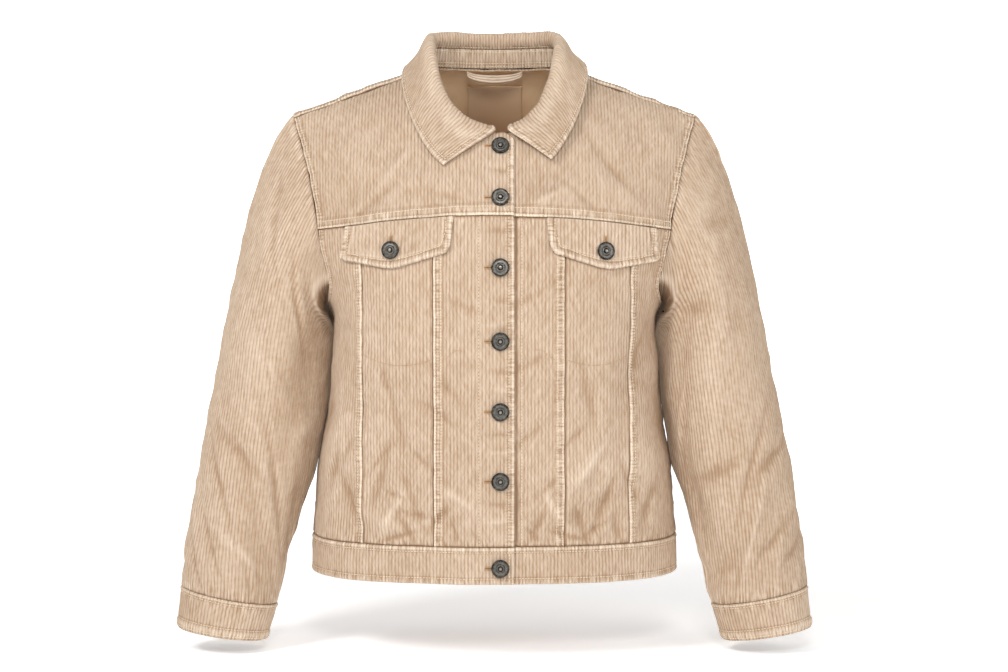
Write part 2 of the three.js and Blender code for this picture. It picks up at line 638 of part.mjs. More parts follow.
const sleeveAt = reader(sleeveSections, "share");
const leaveAt = reader(capLeaves, "turn");

// A ring of the sleeve: a section's centre, its way across and its way along
function sectionFrame(section, side) {
  const lean = radians(section.lean);
  return {
    centre: vector(side * section.out, section.y, section.z),
    outward: vector(side * cos(lean), 0, sin(lean)),
    down: vector(side * sin(lean), 0, -cos(lean)),
    half: section.half,
    deep: section.deep,
  };
}
function sectionPoint(frame, turn, height = 0) {
  const angle = turn * PI;
  return frame.centre
    .clone()
    .addScaledVector(frame.outward, (frame.half + height) * cos(angle))
    .addScaledVector(vector(0, -1, 0), (frame.deep + height) * sin(angle));
}
function armSection(share) {
  return Object.fromEntries(["out", "y", "z", "half", "deep", "lean"].map((key) => [key, sleeveAt(share, key)]));
}

// The direction out of the body's cut edge, in its surface, at each place round the armhole
function armEdges(side) {
  const count = armPlaces.length;
  const middle = vector(side * 190, 0, -150);
  return armPlaces.map((place, i) => {
    const at = (k) => {
      const p = mirrored(armPlaces[(k + count) % count], side);
      return bodyPoint(p.angle, p.level);
    };
    const point = at(i);
    const flat = mirrored(place, side);
    const normal = bodyNormal(flat.angle, flat.level);
    const away = at(i + 1).sub(at(i - 1)).normalize().cross(normal).normalize();
    if (away.dot(middle.clone().sub(point)) < 0) away.negate();
    const seated = dressed(flat, side < 0).point;
    return { point: seated, away };
  });
}

const seamGap = 2.7 * cloth.gap; // round the armhole, where both edges curve

// A sleeve's smooth outer face: from the armhole over the cap (down 0 to 1) and along the arm (1 to 2)
function sleevePoint(edge, turn, down, side) {
  if (down >= 1) return sectionPoint(sectionFrame(armSection(down - 1), side), turn);
  const start = edge.point.clone().addScaledVector(edge.away, seamGap);
  const frame = sectionFrame(armSection(0), side);
  const end = sectionPoint(frame, turn);
  const leave = vector(side * leaveAt(turn, "out"), -leaveAt(turn, "forward"), -leaveAt(turn, "down"));
  const arrive = frame.down.clone().multiplyScalar(mix(capArrival, 60, (1 - cos(turn * PI)) / 2));
  const [a, b] = [down * down, down * down * down];
  return start
    .multiplyScalar(2 * b - 3 * a + 1)
    .addScaledVector(leave, b - 2 * a + down)
    .addScaledVector(end, 3 * a - 2 * b)
    .addScaledVector(arrive, b - a);
}

function buildSleeve({ name, side }) {
  const edges = armEdges(side);
  const downs = [
    ...range(steps.cap).map((i) => (i / steps.cap) ** 0.9),
    ...range(steps.arm + 1).map((i) => 1 + i / steps.arm),
  ];
  const girth = 340;
  const smooth = downs.map((down) => armPlaces.map(({ turn }, i) => sleevePoint(edges[i], turn, down, side)));
  const count = armPlaces.length;
  const runs = smooth[0].map(() => 0);
  const net = smooth.map((ring, r) =>
    ring.map((point, c) => {
      const [above, below] = [smooth[max(r - 1, 0)][c], smooth[min(r + 1, smooth.length - 1)][c]];
      const round = ring[(c + 1) % count].clone().sub(ring[(c + count - 1) % count]);
      const normal = round.cross(below.clone().sub(above)).normalize().multiplyScalar(side);
      if (r > 0) runs[c] += point.distanceTo(smooth[r - 1][c]);
      const folds = sleeveFolds[name].map((f) => ({ ...f, x: (f.turn * girth) / 2, level: f.down }));
      const fade = soft(0, 40, runs[c]) * soft(2, 1.9, downs[r]);
      const fold = foldHeight(folds, (armPlaces[c].turn * girth) / 2, runs[c]) * fade;
      return { point: point.clone().addScaledVector(normal, fold), normal };
    }),
  );
  const outer = net.map((ring) => ring.map((node) => node.point));
  const inner = net.map((ring, r) =>
    ring.map((node, c) => {
      const point = node.point.clone().addScaledVector(node.normal, -cloth.single);
      const { away, point: seam } = edges[c];
      const short = seamGap - point.clone().sub(seam).dot(away);
      return r === 0 && short > 0 ? point.addScaledVector(away, short) : point;
    }),
  );
  addPiece(`sleeve_${name}`, wallGeometry(outer, inner, true));
}

function buildCuff({ name, side }) {
  const top = sectionFrame(armSection(1), side);
  top.centre.addScaledVector(top.down, cloth.gap * 1.5);
  const bottom = sectionFrame(cuff, side);
  const rings = [0, 0.5, 1];
  const turns = armPlaces.map((place) => place.turn);
  const at = (share, height) =>
    turns.map((turn) => sectionPoint(top, turn, height).lerp(sectionPoint(bottom, turn, height), share));
  const outer = rings.map((share) => at(share, cuff.proud));
  const inner = rings.map((share) => at(share, cuff.proud - cloth.double));
  addPiece(`cuff_${name}`, wallGeometry(outer, inner, true));
}

// ---------------------------------------------------------------- collar

const collarAt = reader(collarSections, "share");

// The height of the front face at a place in the front view: its y at x and z
function frontY(x, z) {
  const levelFor = (ridge) => max((ridge - z) / (1 + ridge / armhole.level), 0);
  const level = levelFor(ridgeHeight(x, levelFor(ridgeHeight(x))));
  return bodyPoint(frontAngle(x, level), level).y;
}

// The collar's middle line across its cloth, at one place along the neck: up the stand, over the roll and down
function collarLine(share, side) {
  const placeAt = (at) => neckPlace(neckTurnAt(min(at, 1)), side);
  const place = placeAt(share);
  const seam = dressed(place, side < 0).point;
  const [before, after] = [-0.05, 0.05].map((by) => placeAt(share + by));
  const along = bodyPoint(after.angle, after.level).sub(bodyPoint(before.angle, before.level));
  const outward = vector(along.y, -along.x, 0).normalize();
  if (outward.dot(vector(seam.x, seam.y + 8, 0)) < 0) outward.negate();
  const read = (column) => collarAt(share, column);
  const roll = read("roll");
  const foot = seam.clone().add(vector(0, 0, 1.4));
  const standTop = seam.clone().addScaledVector(outward, (-read("lean") * read("stand")) / read("rise"));
  standTop.z += read("stand");
  const top = seam.clone().addScaledVector(outward, -read("lean"));
  top.z += read("rise") + roll;
  const level = read("level");
  const x = side * read("x");
  const edgePlace = level < 0 ? { angle: side * PI - frontAngle(x, -level), level: -level } : onFront(x, level);
  const edge = dressed(edgePlace, true, read("clear")).point;
  const inside = top.clone().addScaledVector(outward, -0.8 * roll);
  inside.z = mix(standTop.z, top.z, 0.55);
  const outside = top.clone().addScaledVector(outward, roll * 1.3);
  outside.z -= roll;
  const belly = outside.clone().lerp(edge, 0.5).addScaledVector(outward, mix(3, -2, soft(0.3, 0.54, share)));
  return { foot, standTop, inside, top, outside, belly, edge, outward: outward.multiplyScalar(-1) };
}

// Keeps the front of the collar clear of the fronts under it
function cleared(point, share) {
  const near = 1 - soft(20, 46, abs(point.x - closure.centre));
  const need = mix(2.6, collar.frontClear, near) * (1 - soft(collar.frontShare, collar.frontShare + 0.16, share));
  if (need > 0 && point.y < -20) point.y = min(point.y, frontY(point.x, point.z) - need);
  return point;
}

function collarStations() {
  // the right end lies beyond the middle of the neck, so its share is below 0
  const shareAt = (x) => neckShare(neckTurn(x));
  const ends = { [-1]: -shareAt(closure.centre + collar.rightEnd), 1: shareAt(closure.centre + collar.leftEnd) };
  const station = (side, i) => ({ side, share: mix(ends[side], 1, i / steps.collarSide) });
  const rightEnd = range(steps.collarSide).map((i) => station(-1, i));
  const leftEnd = range(steps.collarSide + 1).map((i) => station(1, i));
  return [...rightEnd, ...leftEnd.reverse()];
}

// Moves a net of middle points both ways by half the cloth's thickness. The first row may be given its own normals.
function centredWall(net, thickness, firstNormals) {
  const rows = net.length;
  const columns = net[0].length;
  const normals = net.map((row, r) =>
    row.map((_, c) => {
      if (firstNormals && r === 0) return firstNormals[c];
      const along = net[r][min(c + 1, columns - 1)].clone().sub(net[r][max(c - 1, 0)]);
      const across = net[min(r + 1, rows - 1)][c].clone().sub(net[max(r - 1, 0)][c]);
      return along.cross(across).normalize();
    }),
  );
  const moved = (by) => net.map((row, r) => row.map((p, c) => p.clone().addScaledVector(normals[r][c], by)));
  return wallGeometry(moved(thickness / 2), moved(-thickness / 2));
}

function buildCollar() {
  const stations = collarStations();
  const lines = stations.map(({ share, side }) => ({ ...collarLine(share, side), share }));
  const standNet = [0, 0.5, 1].map((share) =>
    lines.map(({ foot, standTop }) => {
      const top = standTop.clone().add(vector(0, 0, -1.5 * cloth.gap));
      return foot.clone().lerp(top, share);
    }),
  );
  const faces = lines.map(({ outward }) => outward);
  const standWall = [1, -1].map((way) =>
    standNet.map((row) => row.map((p, c) => p.clone().addScaledVector(faces[c], (way * cloth.double) / 2))),
  );
  addPiece("collar_stand", wallGeometry(...standWall));
  const leafSteps = 11;
  const leafNet = range(leafSteps + 1).map((i) =>
    lines.map((line) => {
      const curve = new THREE.CatmullRomCurve3(
        [line.standTop, line.inside, line.top, line.outside, line.belly, line.edge],
        false,
        "centripetal",
      );
      const point = curve.getPoint(i / leafSteps);
      return i / leafSteps > 0.5 ? cleared(point, line.share) : point;
    }),
  );
  addPiece("collar_leaf", centredWall(leafNet, cloth.double, faces));
}

// ---------------------------------------------------------------- pocket flaps

function buildFlap({ name, side, lifted }) {
  const topRow = spread([flap.nearTop, flap.farTop], [12]).map((x) => [x, flap.top]);
  const lowRow = [
    ...range(6).map((i) => [mix(flap.near, flap.peak, i / 6), mix(flap.nearDrop, flap.drop, i / 6)]),
    ...range(7).map((i) => [mix(flap.peak, flap.far, i / 6), mix(flap.drop, flap.farDrop, i / 6)]),
  ];
  const net = [0, 1 / 3, 2 / 3, 1].map((share) =>
    topRow.map((high, c) => {
      const [x, drop] = [0, 1].map((k) => mix(high[k], lowRow[c][k], share));
      const place = onFront(closure.centre + side * x, seams.yoke + drop);
      return dressed(place, lifted, cloth.double + flapLift);
    }),
  );
  addPiece(`pocket_flap_${name}`, sheetWall(net, cloth.double));
}

// ---------------------------------------------------------------- buttons

// A pressed metal shank button: a dished cap with a rim and a raised stud, on a short shank
function buttonGeometry() {
  const { radius, height, shank } = button;
  const base = 0.9; // how high the cap's underside stands over the cloth
  const profile = [
    [0, 0],
    [shank, 0],
    [shank, base],
    [radius * 0.8, base],
    [radius, base + height * 0.3],
    [radius * 0.94, base + height * 0.72],
    [radius * 0.72, base + height * 0.62],
    [radius * 0.34, base + height * 0.55],
    [radius * 0.22, base + height],
    [0, base + height],
  ].map(([r, h]) => new THREE.Vector2(r, h));
  return new THREE.LatheGeometry(profile, button.sides).rotateX(PI / 2);
}

function placeButton(name, spot) {
  const piece = addPiece(name, buttonGeometry(), gunmetal);
  piece.position.copy(spot.point).addScaledVector(spot.normal, cloth.gap);
  piece.quaternion.setFromUnitVectors(vector(0, 0, 1), spot.normal);
}

function buildButtons() {
  frontButtonLevels.forEach((level, i) => {
    const height = level > seams.waist ? 0.9 : 0;
    placeButton(`button_front_${i + 1}`, dressed(onFront(closure.centre, level), true, height));
  });
  sides.forEach(({ name, side, lifted }) => {
    const x = closure.centre + flapButton.shift + side * flapButton.across;
    placeButton(`button_pocket_${name}`, dressed(onFront(x, flapButton.level), lifted, cloth.double + flapLift));
  });
}

// ---------------------------------------------------------------- hanger loop and label

// A point of the back's inner face behind the neck, at x and z and a height off the cloth
function backInside(x, z, height) {
  let level = max(-z, 0.5);
  for (let i = 0; ; i++) {
    const angle = PI - frontAngle(x, level);
    const place = { angle: angle > PI ? angle - 2 * PI : angle, level };
    const { point, normal } = dressed(place, false, -cloth.single - height);
    if (i === 8) return { point, normal: normal.negate() };
    level = max(level + point.z - z, 0.3);
  }
}

function buildLoop() {
  const count = 12;
  const net = [0, 0.5, 1].map((share) =>
    range(count + 1).map((i) => {
      const across = (2 * i) / count - 1;
      const belly = (1 - across * across) ** 0.6;
      const z = loop.top - loop.sag * belly - share * mix(loop.endHeight, loop.height, belly);
      const hung = backInside(across * loop.half, loop.top, 1.5 * cloth.gap).point.y - loop.thick - loop.bow * belly;
      return { point: vector(across * loop.half, hung, z), normal: vector(0, -1, 0) };
    }),
  );
  addPiece("hanger_loop", sheetWall(net, loop.thick));
}

function buildLabel() {
  const net = range(6).map((r) =>
    range(5).map((c) => {
      const x = mix(-label.half, label.half, c / 4);
      return backInside(x, mix(label.top, label.bottom, r / 5), label.lift + label.thick);
    }),
  );
  addPiece("label_patch", sheetWall(net, label.thick), plainCloth);
}

// ---------------------------------------------------------------- the whole jacket

sides.forEach((half) => {
  buildYoke(half);
  buildFrontPanels(half);
  buildSleeve(half);
  buildCuff(half);
  buildFlap(half);
});
buildBack();
buildWaistband();
buildCollar();
buildButtons();
buildLoop();
buildLabel();

export default jacket;
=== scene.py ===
# %% [markdown]
# # A corduroy trucker jacket, worn by nobody
# The jacket is filled out as on a wearer, but it is empty: every piece is one thin wall of cloth. A maker
# cuts flat pieces, sews them at their edges and lets the body underneath give them their form. This script
# does the same. Each piece is cut flat as a grid of small faces, then each point of the grid is laid on the
# body's form, and last it gets what the eye sees from a step away: the ribs of the corduroy, felled seams,
# puckers, creases and stitches.
#
# The solids of the jacket are loaded first. They fix where everything is, so nothing below moves them: the
# cloth replaces them piece by piece, on the same form.

# %% The frame
import json
import math

import bmesh
import bpy
import numpy as np
from mathutils import Matrix, Vector

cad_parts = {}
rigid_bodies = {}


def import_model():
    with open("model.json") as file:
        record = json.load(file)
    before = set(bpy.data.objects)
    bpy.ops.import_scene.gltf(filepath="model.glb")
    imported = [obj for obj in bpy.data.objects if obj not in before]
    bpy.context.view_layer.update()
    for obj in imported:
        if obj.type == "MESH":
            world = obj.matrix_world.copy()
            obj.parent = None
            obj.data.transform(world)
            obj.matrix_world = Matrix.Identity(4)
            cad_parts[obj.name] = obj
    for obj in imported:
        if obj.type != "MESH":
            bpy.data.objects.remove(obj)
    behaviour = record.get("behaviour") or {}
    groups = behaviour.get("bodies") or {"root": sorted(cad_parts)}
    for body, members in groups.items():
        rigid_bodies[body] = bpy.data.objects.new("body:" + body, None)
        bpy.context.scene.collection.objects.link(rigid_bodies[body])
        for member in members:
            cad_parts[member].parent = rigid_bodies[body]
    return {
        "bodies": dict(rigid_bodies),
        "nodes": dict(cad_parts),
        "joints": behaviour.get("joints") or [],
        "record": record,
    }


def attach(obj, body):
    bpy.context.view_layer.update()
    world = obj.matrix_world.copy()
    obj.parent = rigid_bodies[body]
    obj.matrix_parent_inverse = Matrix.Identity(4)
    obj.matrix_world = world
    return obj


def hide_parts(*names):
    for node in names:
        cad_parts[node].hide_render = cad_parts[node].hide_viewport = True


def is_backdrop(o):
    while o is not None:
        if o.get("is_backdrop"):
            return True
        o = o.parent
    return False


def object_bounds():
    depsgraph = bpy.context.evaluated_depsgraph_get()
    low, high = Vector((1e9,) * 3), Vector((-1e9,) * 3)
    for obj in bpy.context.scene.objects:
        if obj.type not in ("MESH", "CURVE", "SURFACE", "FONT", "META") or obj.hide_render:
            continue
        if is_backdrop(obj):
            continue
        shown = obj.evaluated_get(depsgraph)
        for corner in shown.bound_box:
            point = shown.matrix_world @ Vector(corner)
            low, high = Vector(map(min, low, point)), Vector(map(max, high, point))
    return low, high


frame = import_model()
solid_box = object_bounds()
MM = 0.001
print("nodes:", len(frame["nodes"]), "from", solid_box[0], "to", solid_box[1])

# %% [markdown]
# ## Sizes
# All sizes are in millimetres, in the jacket's own frame: +Z up, the front towards -Y, +X the wearer's
# left, and the origin between the two points where the shoulders meet the neck. Short tables hold what
# changes from place to place, one row for each place, and `read` draws a smooth curve through a column of a
# table.

# %% Sizes
PITCH = 3.6  # from one rib of the corduroy to the next
SINGLE, DOUBLE, GAP = 1.8, 3.0, 0.3  # one layer of cloth, two layers, and the gap between sewn pieces
SIDE_GAP = GAP * 0.6  # on either side of a seam between two panels
ARM_GAP = 0.81  # round the armhole, where both edges curve

# the neck seam: half its width, its drop in front and behind, and how round it is there
NECK_HALF, NECK_FRONT, NECK_BACK = 77, 70, 2.2
NECK_ROUND = {"front": 1.3, "back": 2.6}
# the shoulders: how steeply and from where they slope, their end, how far back their ridge lies, their seam
SLOPE, SHOULDER_HALF, RIDGE_BACK, SHOULDER_SEAM = 0.3756, 209, 22, 5
EASE, LOW_EASE = 12, 44
# the armhole: the level of its lowest point, how far it is cut into the body, and how round it is
ARM_LEVEL, ARM_CUT, ARM_ROUND = 245, {"front": 0.5, "back": 0.49}, (1.4, 0.7)
# the fronts: the row of buttons, how far the right edge laps over it, and the turned-back strip of cloth
CENTRE, LAP, STRIP = 6.3, 14, 21.5
FACING = LAP + STRIP
# how far the upper front stands off the lower one, where that starts and ends, and the rounded top corner
LIFT, LIFT_FROM, LIFT_TO, CORNER = 3.6, 70, 27, 10
# levels of the yoke seam, the waistband's seam and the hem, and the two long seams of a front
YOKE, WAIST, HEM = 153.5, 489, 527
INNER, OUTER = 66, 137
# how square the chest's section is, and how fast the body fills out below the shoulders
SQUARENESS = 0.03
TOP_ROUND = {"front": 1.7, "back": 2.6}
print("lap and facing:", FACING, "mm; panels stand", 2 * SIDE_GAP, "mm apart")

# %% Tables


def table(columns, *rows):
    """A short table as one array for each named column."""
    return dict(zip(columns.split(), np.array(rows, float).T))


BODY = table(
    "level half front back",
    (0, 209, 118, 110),
    (60, 209, 118, 110),
    (110, 206, 118, 110),
    (160, 197, 118, 110),
    (200, 184, 118, 110),
    (225, 175.4, 118, 110),
    (245, 169.8, 118, 109.8),
    (265, 168.4, 117.8, 109.2),
    (300, 170.6, 116.6, 107),
    (350, 175, 114, 102),
    (400, 182, 111, 100),
    (450, 187.5, 109, 100),
    (500, 190.5, 108, 101),
    (530, 190.5, 108, 101),
)
SLEEVE = table(
    "share out y z half deep lean",
    (0, 227.5, 0, -282, 55.8, 61.8, 12),
    (0.2, 233.5, -6, -336, 59.3, 58.8, 12),
    (0.4, 242.6, -11, -388, 60.6, 55.8, 12),
    (0.5, 248, -14, -413, 59.8, 52.8, 12),
    (0.6, 255, -17, -438, 56.8, 50.3, 12.5),
    (0.8, 267, -22, -493, 54.3, 44.8, 12),
    (1, 277.5, -27, -550, 50.3, 39.8, 11),
)
CUFF = {"out": 285, "y": -32, "z": -590, "half": 46.7, "deep": 34.7, "lean": 8.5}
CUFF_PROUD = 0.4
CAP_LEAVES = table(
    "turn out forward down",
    (0, 118, 0, 112),
    (0.5, 100, 26, 70),
    (1, 58, 0, 6),
    (1.5, 90, -30, 72),
    (2, 118, 0, 112),
)
COLLAR = table(
    "share stand rise lean roll x level clear",
    (0, 1.6, 1.6, 0, 2.6, 51, 103, 4.6),
    (0.13, 3, 4, 1, 3.2, 64, 89, 4.6),
    (0.28, 7, 12, 5, 4.2, 78, 66, 4.2),
    (0.42, 12, 21, 8, 4.4, 88, 42, 4),
    (0.54, 16, 27, 10, 4, 93.5, 22, 4),
    (0.64, 19, 31, 11, 3.8, 94.5, 5, 4.4),
    (0.72, 21, 33, 9, 3.8, 86, -7, 5),
    (0.81, 21.5, 33, 5, 4.2, 64, -16, 5),
    (0.915, 21.5, 32.5, 1.5, 4.4, 28, -21, 5),
    (1, 21.5, 32.5, 0, 4.4, 0, -22, 5),
)


def mix(a, b, share):
    return a + (b - a) * share


def soft(start, end, value):
    share = np.clip((value - start) / (end - start), 0, 1)
    return share * share * (3 - 2 * share)


def hill(value, middle, width):
    return np.exp(-(((value - middle) / width) ** 2))


def read(rows, value, column):
    """A table's column at any value of its first column, on a smooth curve through the rows."""
    keys, heights = next(iter(rows.values())), rows[column]
    last = len(keys) - 1
    before, after = np.clip(np.arange(last + 1) - 1, 0, None), np.clip(np.arange(last + 1) + 1, None, last)
    slopes = (heights[after] - heights[before]) / (keys[after] - keys[before])
    at = np.clip(value, keys[0], keys[last])
    i = np.clip(np.searchsorted(keys, at) - 1, 0, last - 1)
    span = keys[i + 1] - keys[i]
    t = (at - keys[i]) / span
    a, b, p, q = heights[i], heights[i + 1], slopes[i] * span, slopes[i + 1] * span
    return a + t * (p + t * (3 * (b - a) - 2 * p - q + t * (2 * (a - b) + p + q)))


def length(vectors):
    return np.linalg.norm(vectors, axis=-1)


def unit(vectors):
    return vectors / np.maximum(length(vectors), 1e-9)[..., None]

# %% [markdown]
# ## Folds and unevenness
# Cloth that has been washed and worn is never even. Long soft folds are listed, each with its own
# length, width, lean and depth, and lie where the body pulls or the cloth has slack. Between them the
# surface is a little uneven everywhere, which is a slow random height with a fixed seed, so each run gives
# the same jacket.

# %% Folds
FRONT_FOLDS = table(
    "x level long wide lean depth",
    (-150, 300, 60, 13, 12, -2.6),
    (-163, 400, 55, 12, -8, 2.4),
    (-148, 462, 40, 12, 24, -2.4),
    (-104, 468, 46, 10, 70, 2.2),
    (-48, 380, 48, 12, 38, -1.8),
    (-60, 118, 44, 13, 62, 1.8),
    (-128, 112, 50, 14, -58, -1.8),
    (140, 318, 60, 13, -14, -2.6),
    (158, 410, 50, 12, 10, 2.6),
    (104, 452, 44, 10, -64, -2.4),
    (82, 420, 36, 11, -40, 2),
    (60, 110, 46, 14, -70, -1.6),
    (128, 122, 50, 13, 55, 1.8),
)
BACK_FOLDS = table(
    "x level long wide lean depth",
    (-116, 225, 75, 21, -24, -3.4),
    (118, 218, 78, 21, 22, -3.4),
    (-72, 175, 75, 24, -12, 2.2),
    (76, 182, 78, 24, 14, 2.2),
    (-40, 420, 70, 22, 36, -2.8),
    (52, 440, 64, 20, -42, -2.8),
    (4, 330, 80, 24, 78, 2.4),
    (-136, 390, 64, 19, 10, 2.8),
    (134, 378, 60, 19, -12, 2.6),
)
SLEEVE_FOLDS = {
    -1: table(
        "turn down long wide lean depth",
        (0.72, 120, 80, 13, -10, -5),
        (0.86, 205, 90, 13, 8, -4.4),
        (0.5, 150, 70, 14, -16, 3.2),
        (0.62, 300, 50, 12, 52, -3.6),
        (0.8, 345, 48, 12, 64, -3.6),
        (0.45, 392, 46, 11, -48, 2.6),
        (1.3, 330, 52, 12, 60, -3),
        (1.4, 180, 70, 14, 14, -3.4),
        (0.7, 470, 32, 10, 70, -2.4),
    ),
    1: table(
        "turn down long wide lean depth",
        (0.75, 125, 84, 13, 8, -5),
        (0.84, 215, 80, 13, -8, -4.6),
        (0.52, 160, 80, 14, 14, 3),
        (0.74, 318, 50, 12, -56, -3.8),
        (0.6, 362, 44, 12, -44, -3),
        (0.82, 410, 46, 11, 58, 2.6),
        (1.32, 325, 52, 12, -58, -3),
        (1.38, 190, 70, 14, -12, -3.4),
        (0.5, 455, 34, 10, -66, -2.2),
    ),
}
# under the arm, and behind it, the slack of each sleeve lies towards the body
for folds in SLEEVE_FOLDS.values():
    for row in ((1.0, 34, 36, 15, 0, 4.5), (1.14, 44, 50, 17, 0, 7.5)):
        for key, value in zip(folds, row):
            folds[key] = np.append(folds[key], value)
print("folds:", len(FRONT_FOLDS["x"]), "in front,", len(BACK_FOLDS["x"]), "behind")


def folded(folds, across, down, narrow=1.0):
    """The height of the folds at each place. A fold's first two columns say where it lies."""
    (_, xs), (_, ys) = list(folds.items())[:2]
    height = np.zeros(np.broadcast(across, down).shape)
    for x, y, long, wide, lean, depth in zip(xs, ys, *(folds[k] for k in ("long", "wide", "lean", "depth"))):
        turn = math.radians(lean)
        dx, dy = across - x, down - y
        along = dx * math.sin(turn) + dy * math.cos(turn)
        over = dx * math.cos(turn) - dy * math.sin(turn)
        height += depth * np.exp(-((along / long) ** 2) - (over / wide / narrow) ** 2)
    return height


def uneven(x, y, cell, seed):
    """A slow random height from -1 to 1, the same on each run; cell is its size in mm, across and down."""
    knots = np.random.default_rng(seed).uniform(-1, 1, (97, 89))
    u, v = np.asarray(x) / cell[0] + 41.3, np.asarray(y) / cell[1] + 37.7
    i, j = np.floor(u).astype(int), np.floor(v).astype(int)
    a, b = soft(0, 1, u - i), soft(0, 1, v - j)
    at = lambda p, q: knots[(i + p) % 97, (j + q) % 89]
    return mix(mix(at(0, 0), at(1, 0), a), mix(at(0, 1), at(1, 1), a), b)

# %% [markdown]
# ## The body's form
# The chest is a rounded section that changes with the level below the shoulders, and above the underarm it
# turns over to the sloping shoulder line. `body_point` gives the cloth's outer face at an angle round the
# body, 0 in front and 180 degrees behind, and at a level down from the shoulder line. A level below 0 lies
# over the shoulder, on the other face. This is the form that the solids have, so the cloth fits them.

# %% The body's form
def ridge_height(x, level):
    out = np.abs(x) - NECK_HALF
    ease = mix(EASE, LOW_EASE, soft(0, 110, level))
    return -SLOPE * 0.5 * (out + np.sqrt(out * out + ease * ease))


def body_point(angle, level):
    angle, level = np.broadcast_arrays(np.asarray(angle, float), np.asarray(level, float))
    over = level < 0
    angle = np.where(over, np.where(angle < 0, -math.pi, math.pi) - angle, angle)
    level = np.abs(level)
    behind = np.abs(angle) > math.pi / 2
    across = (np.sin(angle) + SQUARENESS * np.sin(3 * angle)) / (1 - SQUARENESS)
    ahead = (np.cos(angle) - SQUARENESS * np.cos(3 * angle)) / (1 - SQUARENESS)
    x = read(BODY, level, "half") * across
    depth = np.where(behind, read(BODY, level, "back"), read(BODY, level, "front"))
    power = np.where(behind, TOP_ROUND["back"], TOP_ROUND["front"])
    drop = np.minimum(level / ARM_LEVEL, 1)
    fullness = (1 - (1 - drop) ** power) ** (1 / power)
    ridge_y = RIDGE_BACK * (1 - (x / SHOULDER_HALF) ** 2)
    y = ridge_y * (1 - fullness) - depth * ahead * fullness
    return np.stack([x, y, ridge_height(x, level) * (1 - drop) - level], -1)


def body_normal(angle, level):
    angle, level = np.broadcast_arrays(np.asarray(angle, float), np.asarray(level, float))

    def slopes(at):
        around = body_point(at + 0.01, level) - body_point(at - 0.01, level)
        return around, body_point(at, level - 0.4) - body_point(at, level + 0.4)

    around, up = slopes(angle)
    tip = length(around) < 1e-3  # the shoulder's end is a point, so its normal is read a little way in
    if tip.any():
        inward = slopes(angle * 0.96)
        around, up = np.where(tip[..., None], inward[0], around), np.where(tip[..., None], inward[1], up)
    return unit(np.cross(around, up))


def front_angle(x, level):
    """The angle at which the front lies at x, by Newton's method."""
    aim = x / read(BODY, level, "half") * (1 - SQUARENESS)
    angle = np.arcsin(np.clip(aim, -1, 1))
    for _ in range(6):
        miss = np.sin(angle) + SQUARENESS * np.sin(3 * angle) - aim
        angle = angle - miss / np.maximum(np.cos(angle) + 3 * SQUARENESS * np.cos(3 * angle), 0.05)
    return angle


def dressed(angle, level, lifted, height=0.0):
    """Points and normals of the body's outer face with its folds, moved out by a height.

    The right front is lifted towards its edge, because it lies over the left one.
    """
    angle, level = np.broadcast_arrays(np.asarray(angle, float), np.asarray(level, float))
    point, normal = body_point(angle, level), body_normal(angle, level)
    behind = (np.abs(angle) > math.pi / 2) | (level < 0)
    x = point[..., 0]
    fold = np.where(behind, folded(BACK_FOLDS, x, level), 1.25 * folded(FRONT_FOLDS, x, level))
    lift = np.where(behind, 0, LIFT * soft(-LIFT_FROM, -LIFT_TO, x)) * np.asarray(lifted, float)
    out = fold * soft(0, 60, np.abs(level)) + lift + height
    return point + normal * out[..., None], normal

# %% [markdown]
# A flat piece of cloth is measured in millimetres, so the body needs the same measure. `BodyFace` lays out
# the front or the back: `s` is the way round from its middle and `r` is the way down from the shoulder
# line, both along the cloth. The corduroy's ribs follow lines of equal `s`, as they do on a jacket cut with
# its ribs upright.

# %% The body's faces, laid out flat
def steps_along(points):
    """The way along a line of points, in mm, from 0 at the first."""
    start = np.zeros(points.shape[:-2] + (1,))
    return np.concatenate([start, np.cumsum(length(np.diff(points, axis=-2)), -1)], -1)


def look_up(grid, row, column):
    """A value between the rows and columns of a grid."""
    row, column = np.clip(row, 0, grid.shape[0] - 1.001), np.clip(column, 0, grid.shape[1] - 1.001)
    i, j = row.astype(int), column.astype(int)
    a, b = row - i, column - j
    if grid.ndim == 3:
        a, b = a[..., None], b[..., None]
    return mix(mix(grid[i, j], grid[i + 1, j], a), mix(grid[i, j + 1], grid[i + 1, j + 1], a), b)


class BodyFace:
    step = 2.0

    def __init__(self, behind):
        self.behind = behind
        over = -(np.linspace(1, 0, 60, endpoint=False) ** 2) * 12
        levels = np.concatenate([over, np.linspace(0, 1, 700) ** 2 * 530])
        guide = math.radians(140 if behind else 40)
        runs = steps_along(body_point(guide, levels))
        self.levels, self.runs = levels, runs - np.interp(0, levels, runs)
        self.first = self.runs[0]
        rows = np.arange(self.first, self.runs[-1], self.step)
        turns = np.linspace(0, math.pi / 2, 181)
        angles = math.pi - turns if behind else turns
        self.round = steps_along(body_point(angles[None, :], self.level(rows)[:, None]))
        ways = np.arange(0, self.round.max(), 1.0)
        self.turns = np.array([np.interp(ways, row, turns) for row in self.round])

    def level(self, r):
        return np.interp(r, self.runs, self.levels)

    def run(self, level):
        return np.interp(level, self.levels, self.runs)

    def angle(self, s, r):
        turn = look_up(self.turns, (r - self.first) / self.step, np.abs(s))
        return np.where(s < 0, -1, 1) * (math.pi - turn if self.behind else turn)

    def way(self, angle, level):
        """s at an angle and a level."""
        turn = math.pi - np.abs(angle) if self.behind else np.abs(angle)
        found = look_up(self.round, (self.run(level) - self.first) / self.step, turn / (math.pi / 2) * 180)
        return np.sign(angle) * found


FRONT, BACK = BodyFace(False), BodyFace(True)
print("half girth at the waist:", FRONT.way(math.pi / 2, WAIST) + BACK.way(math.pi / 2, WAIST))

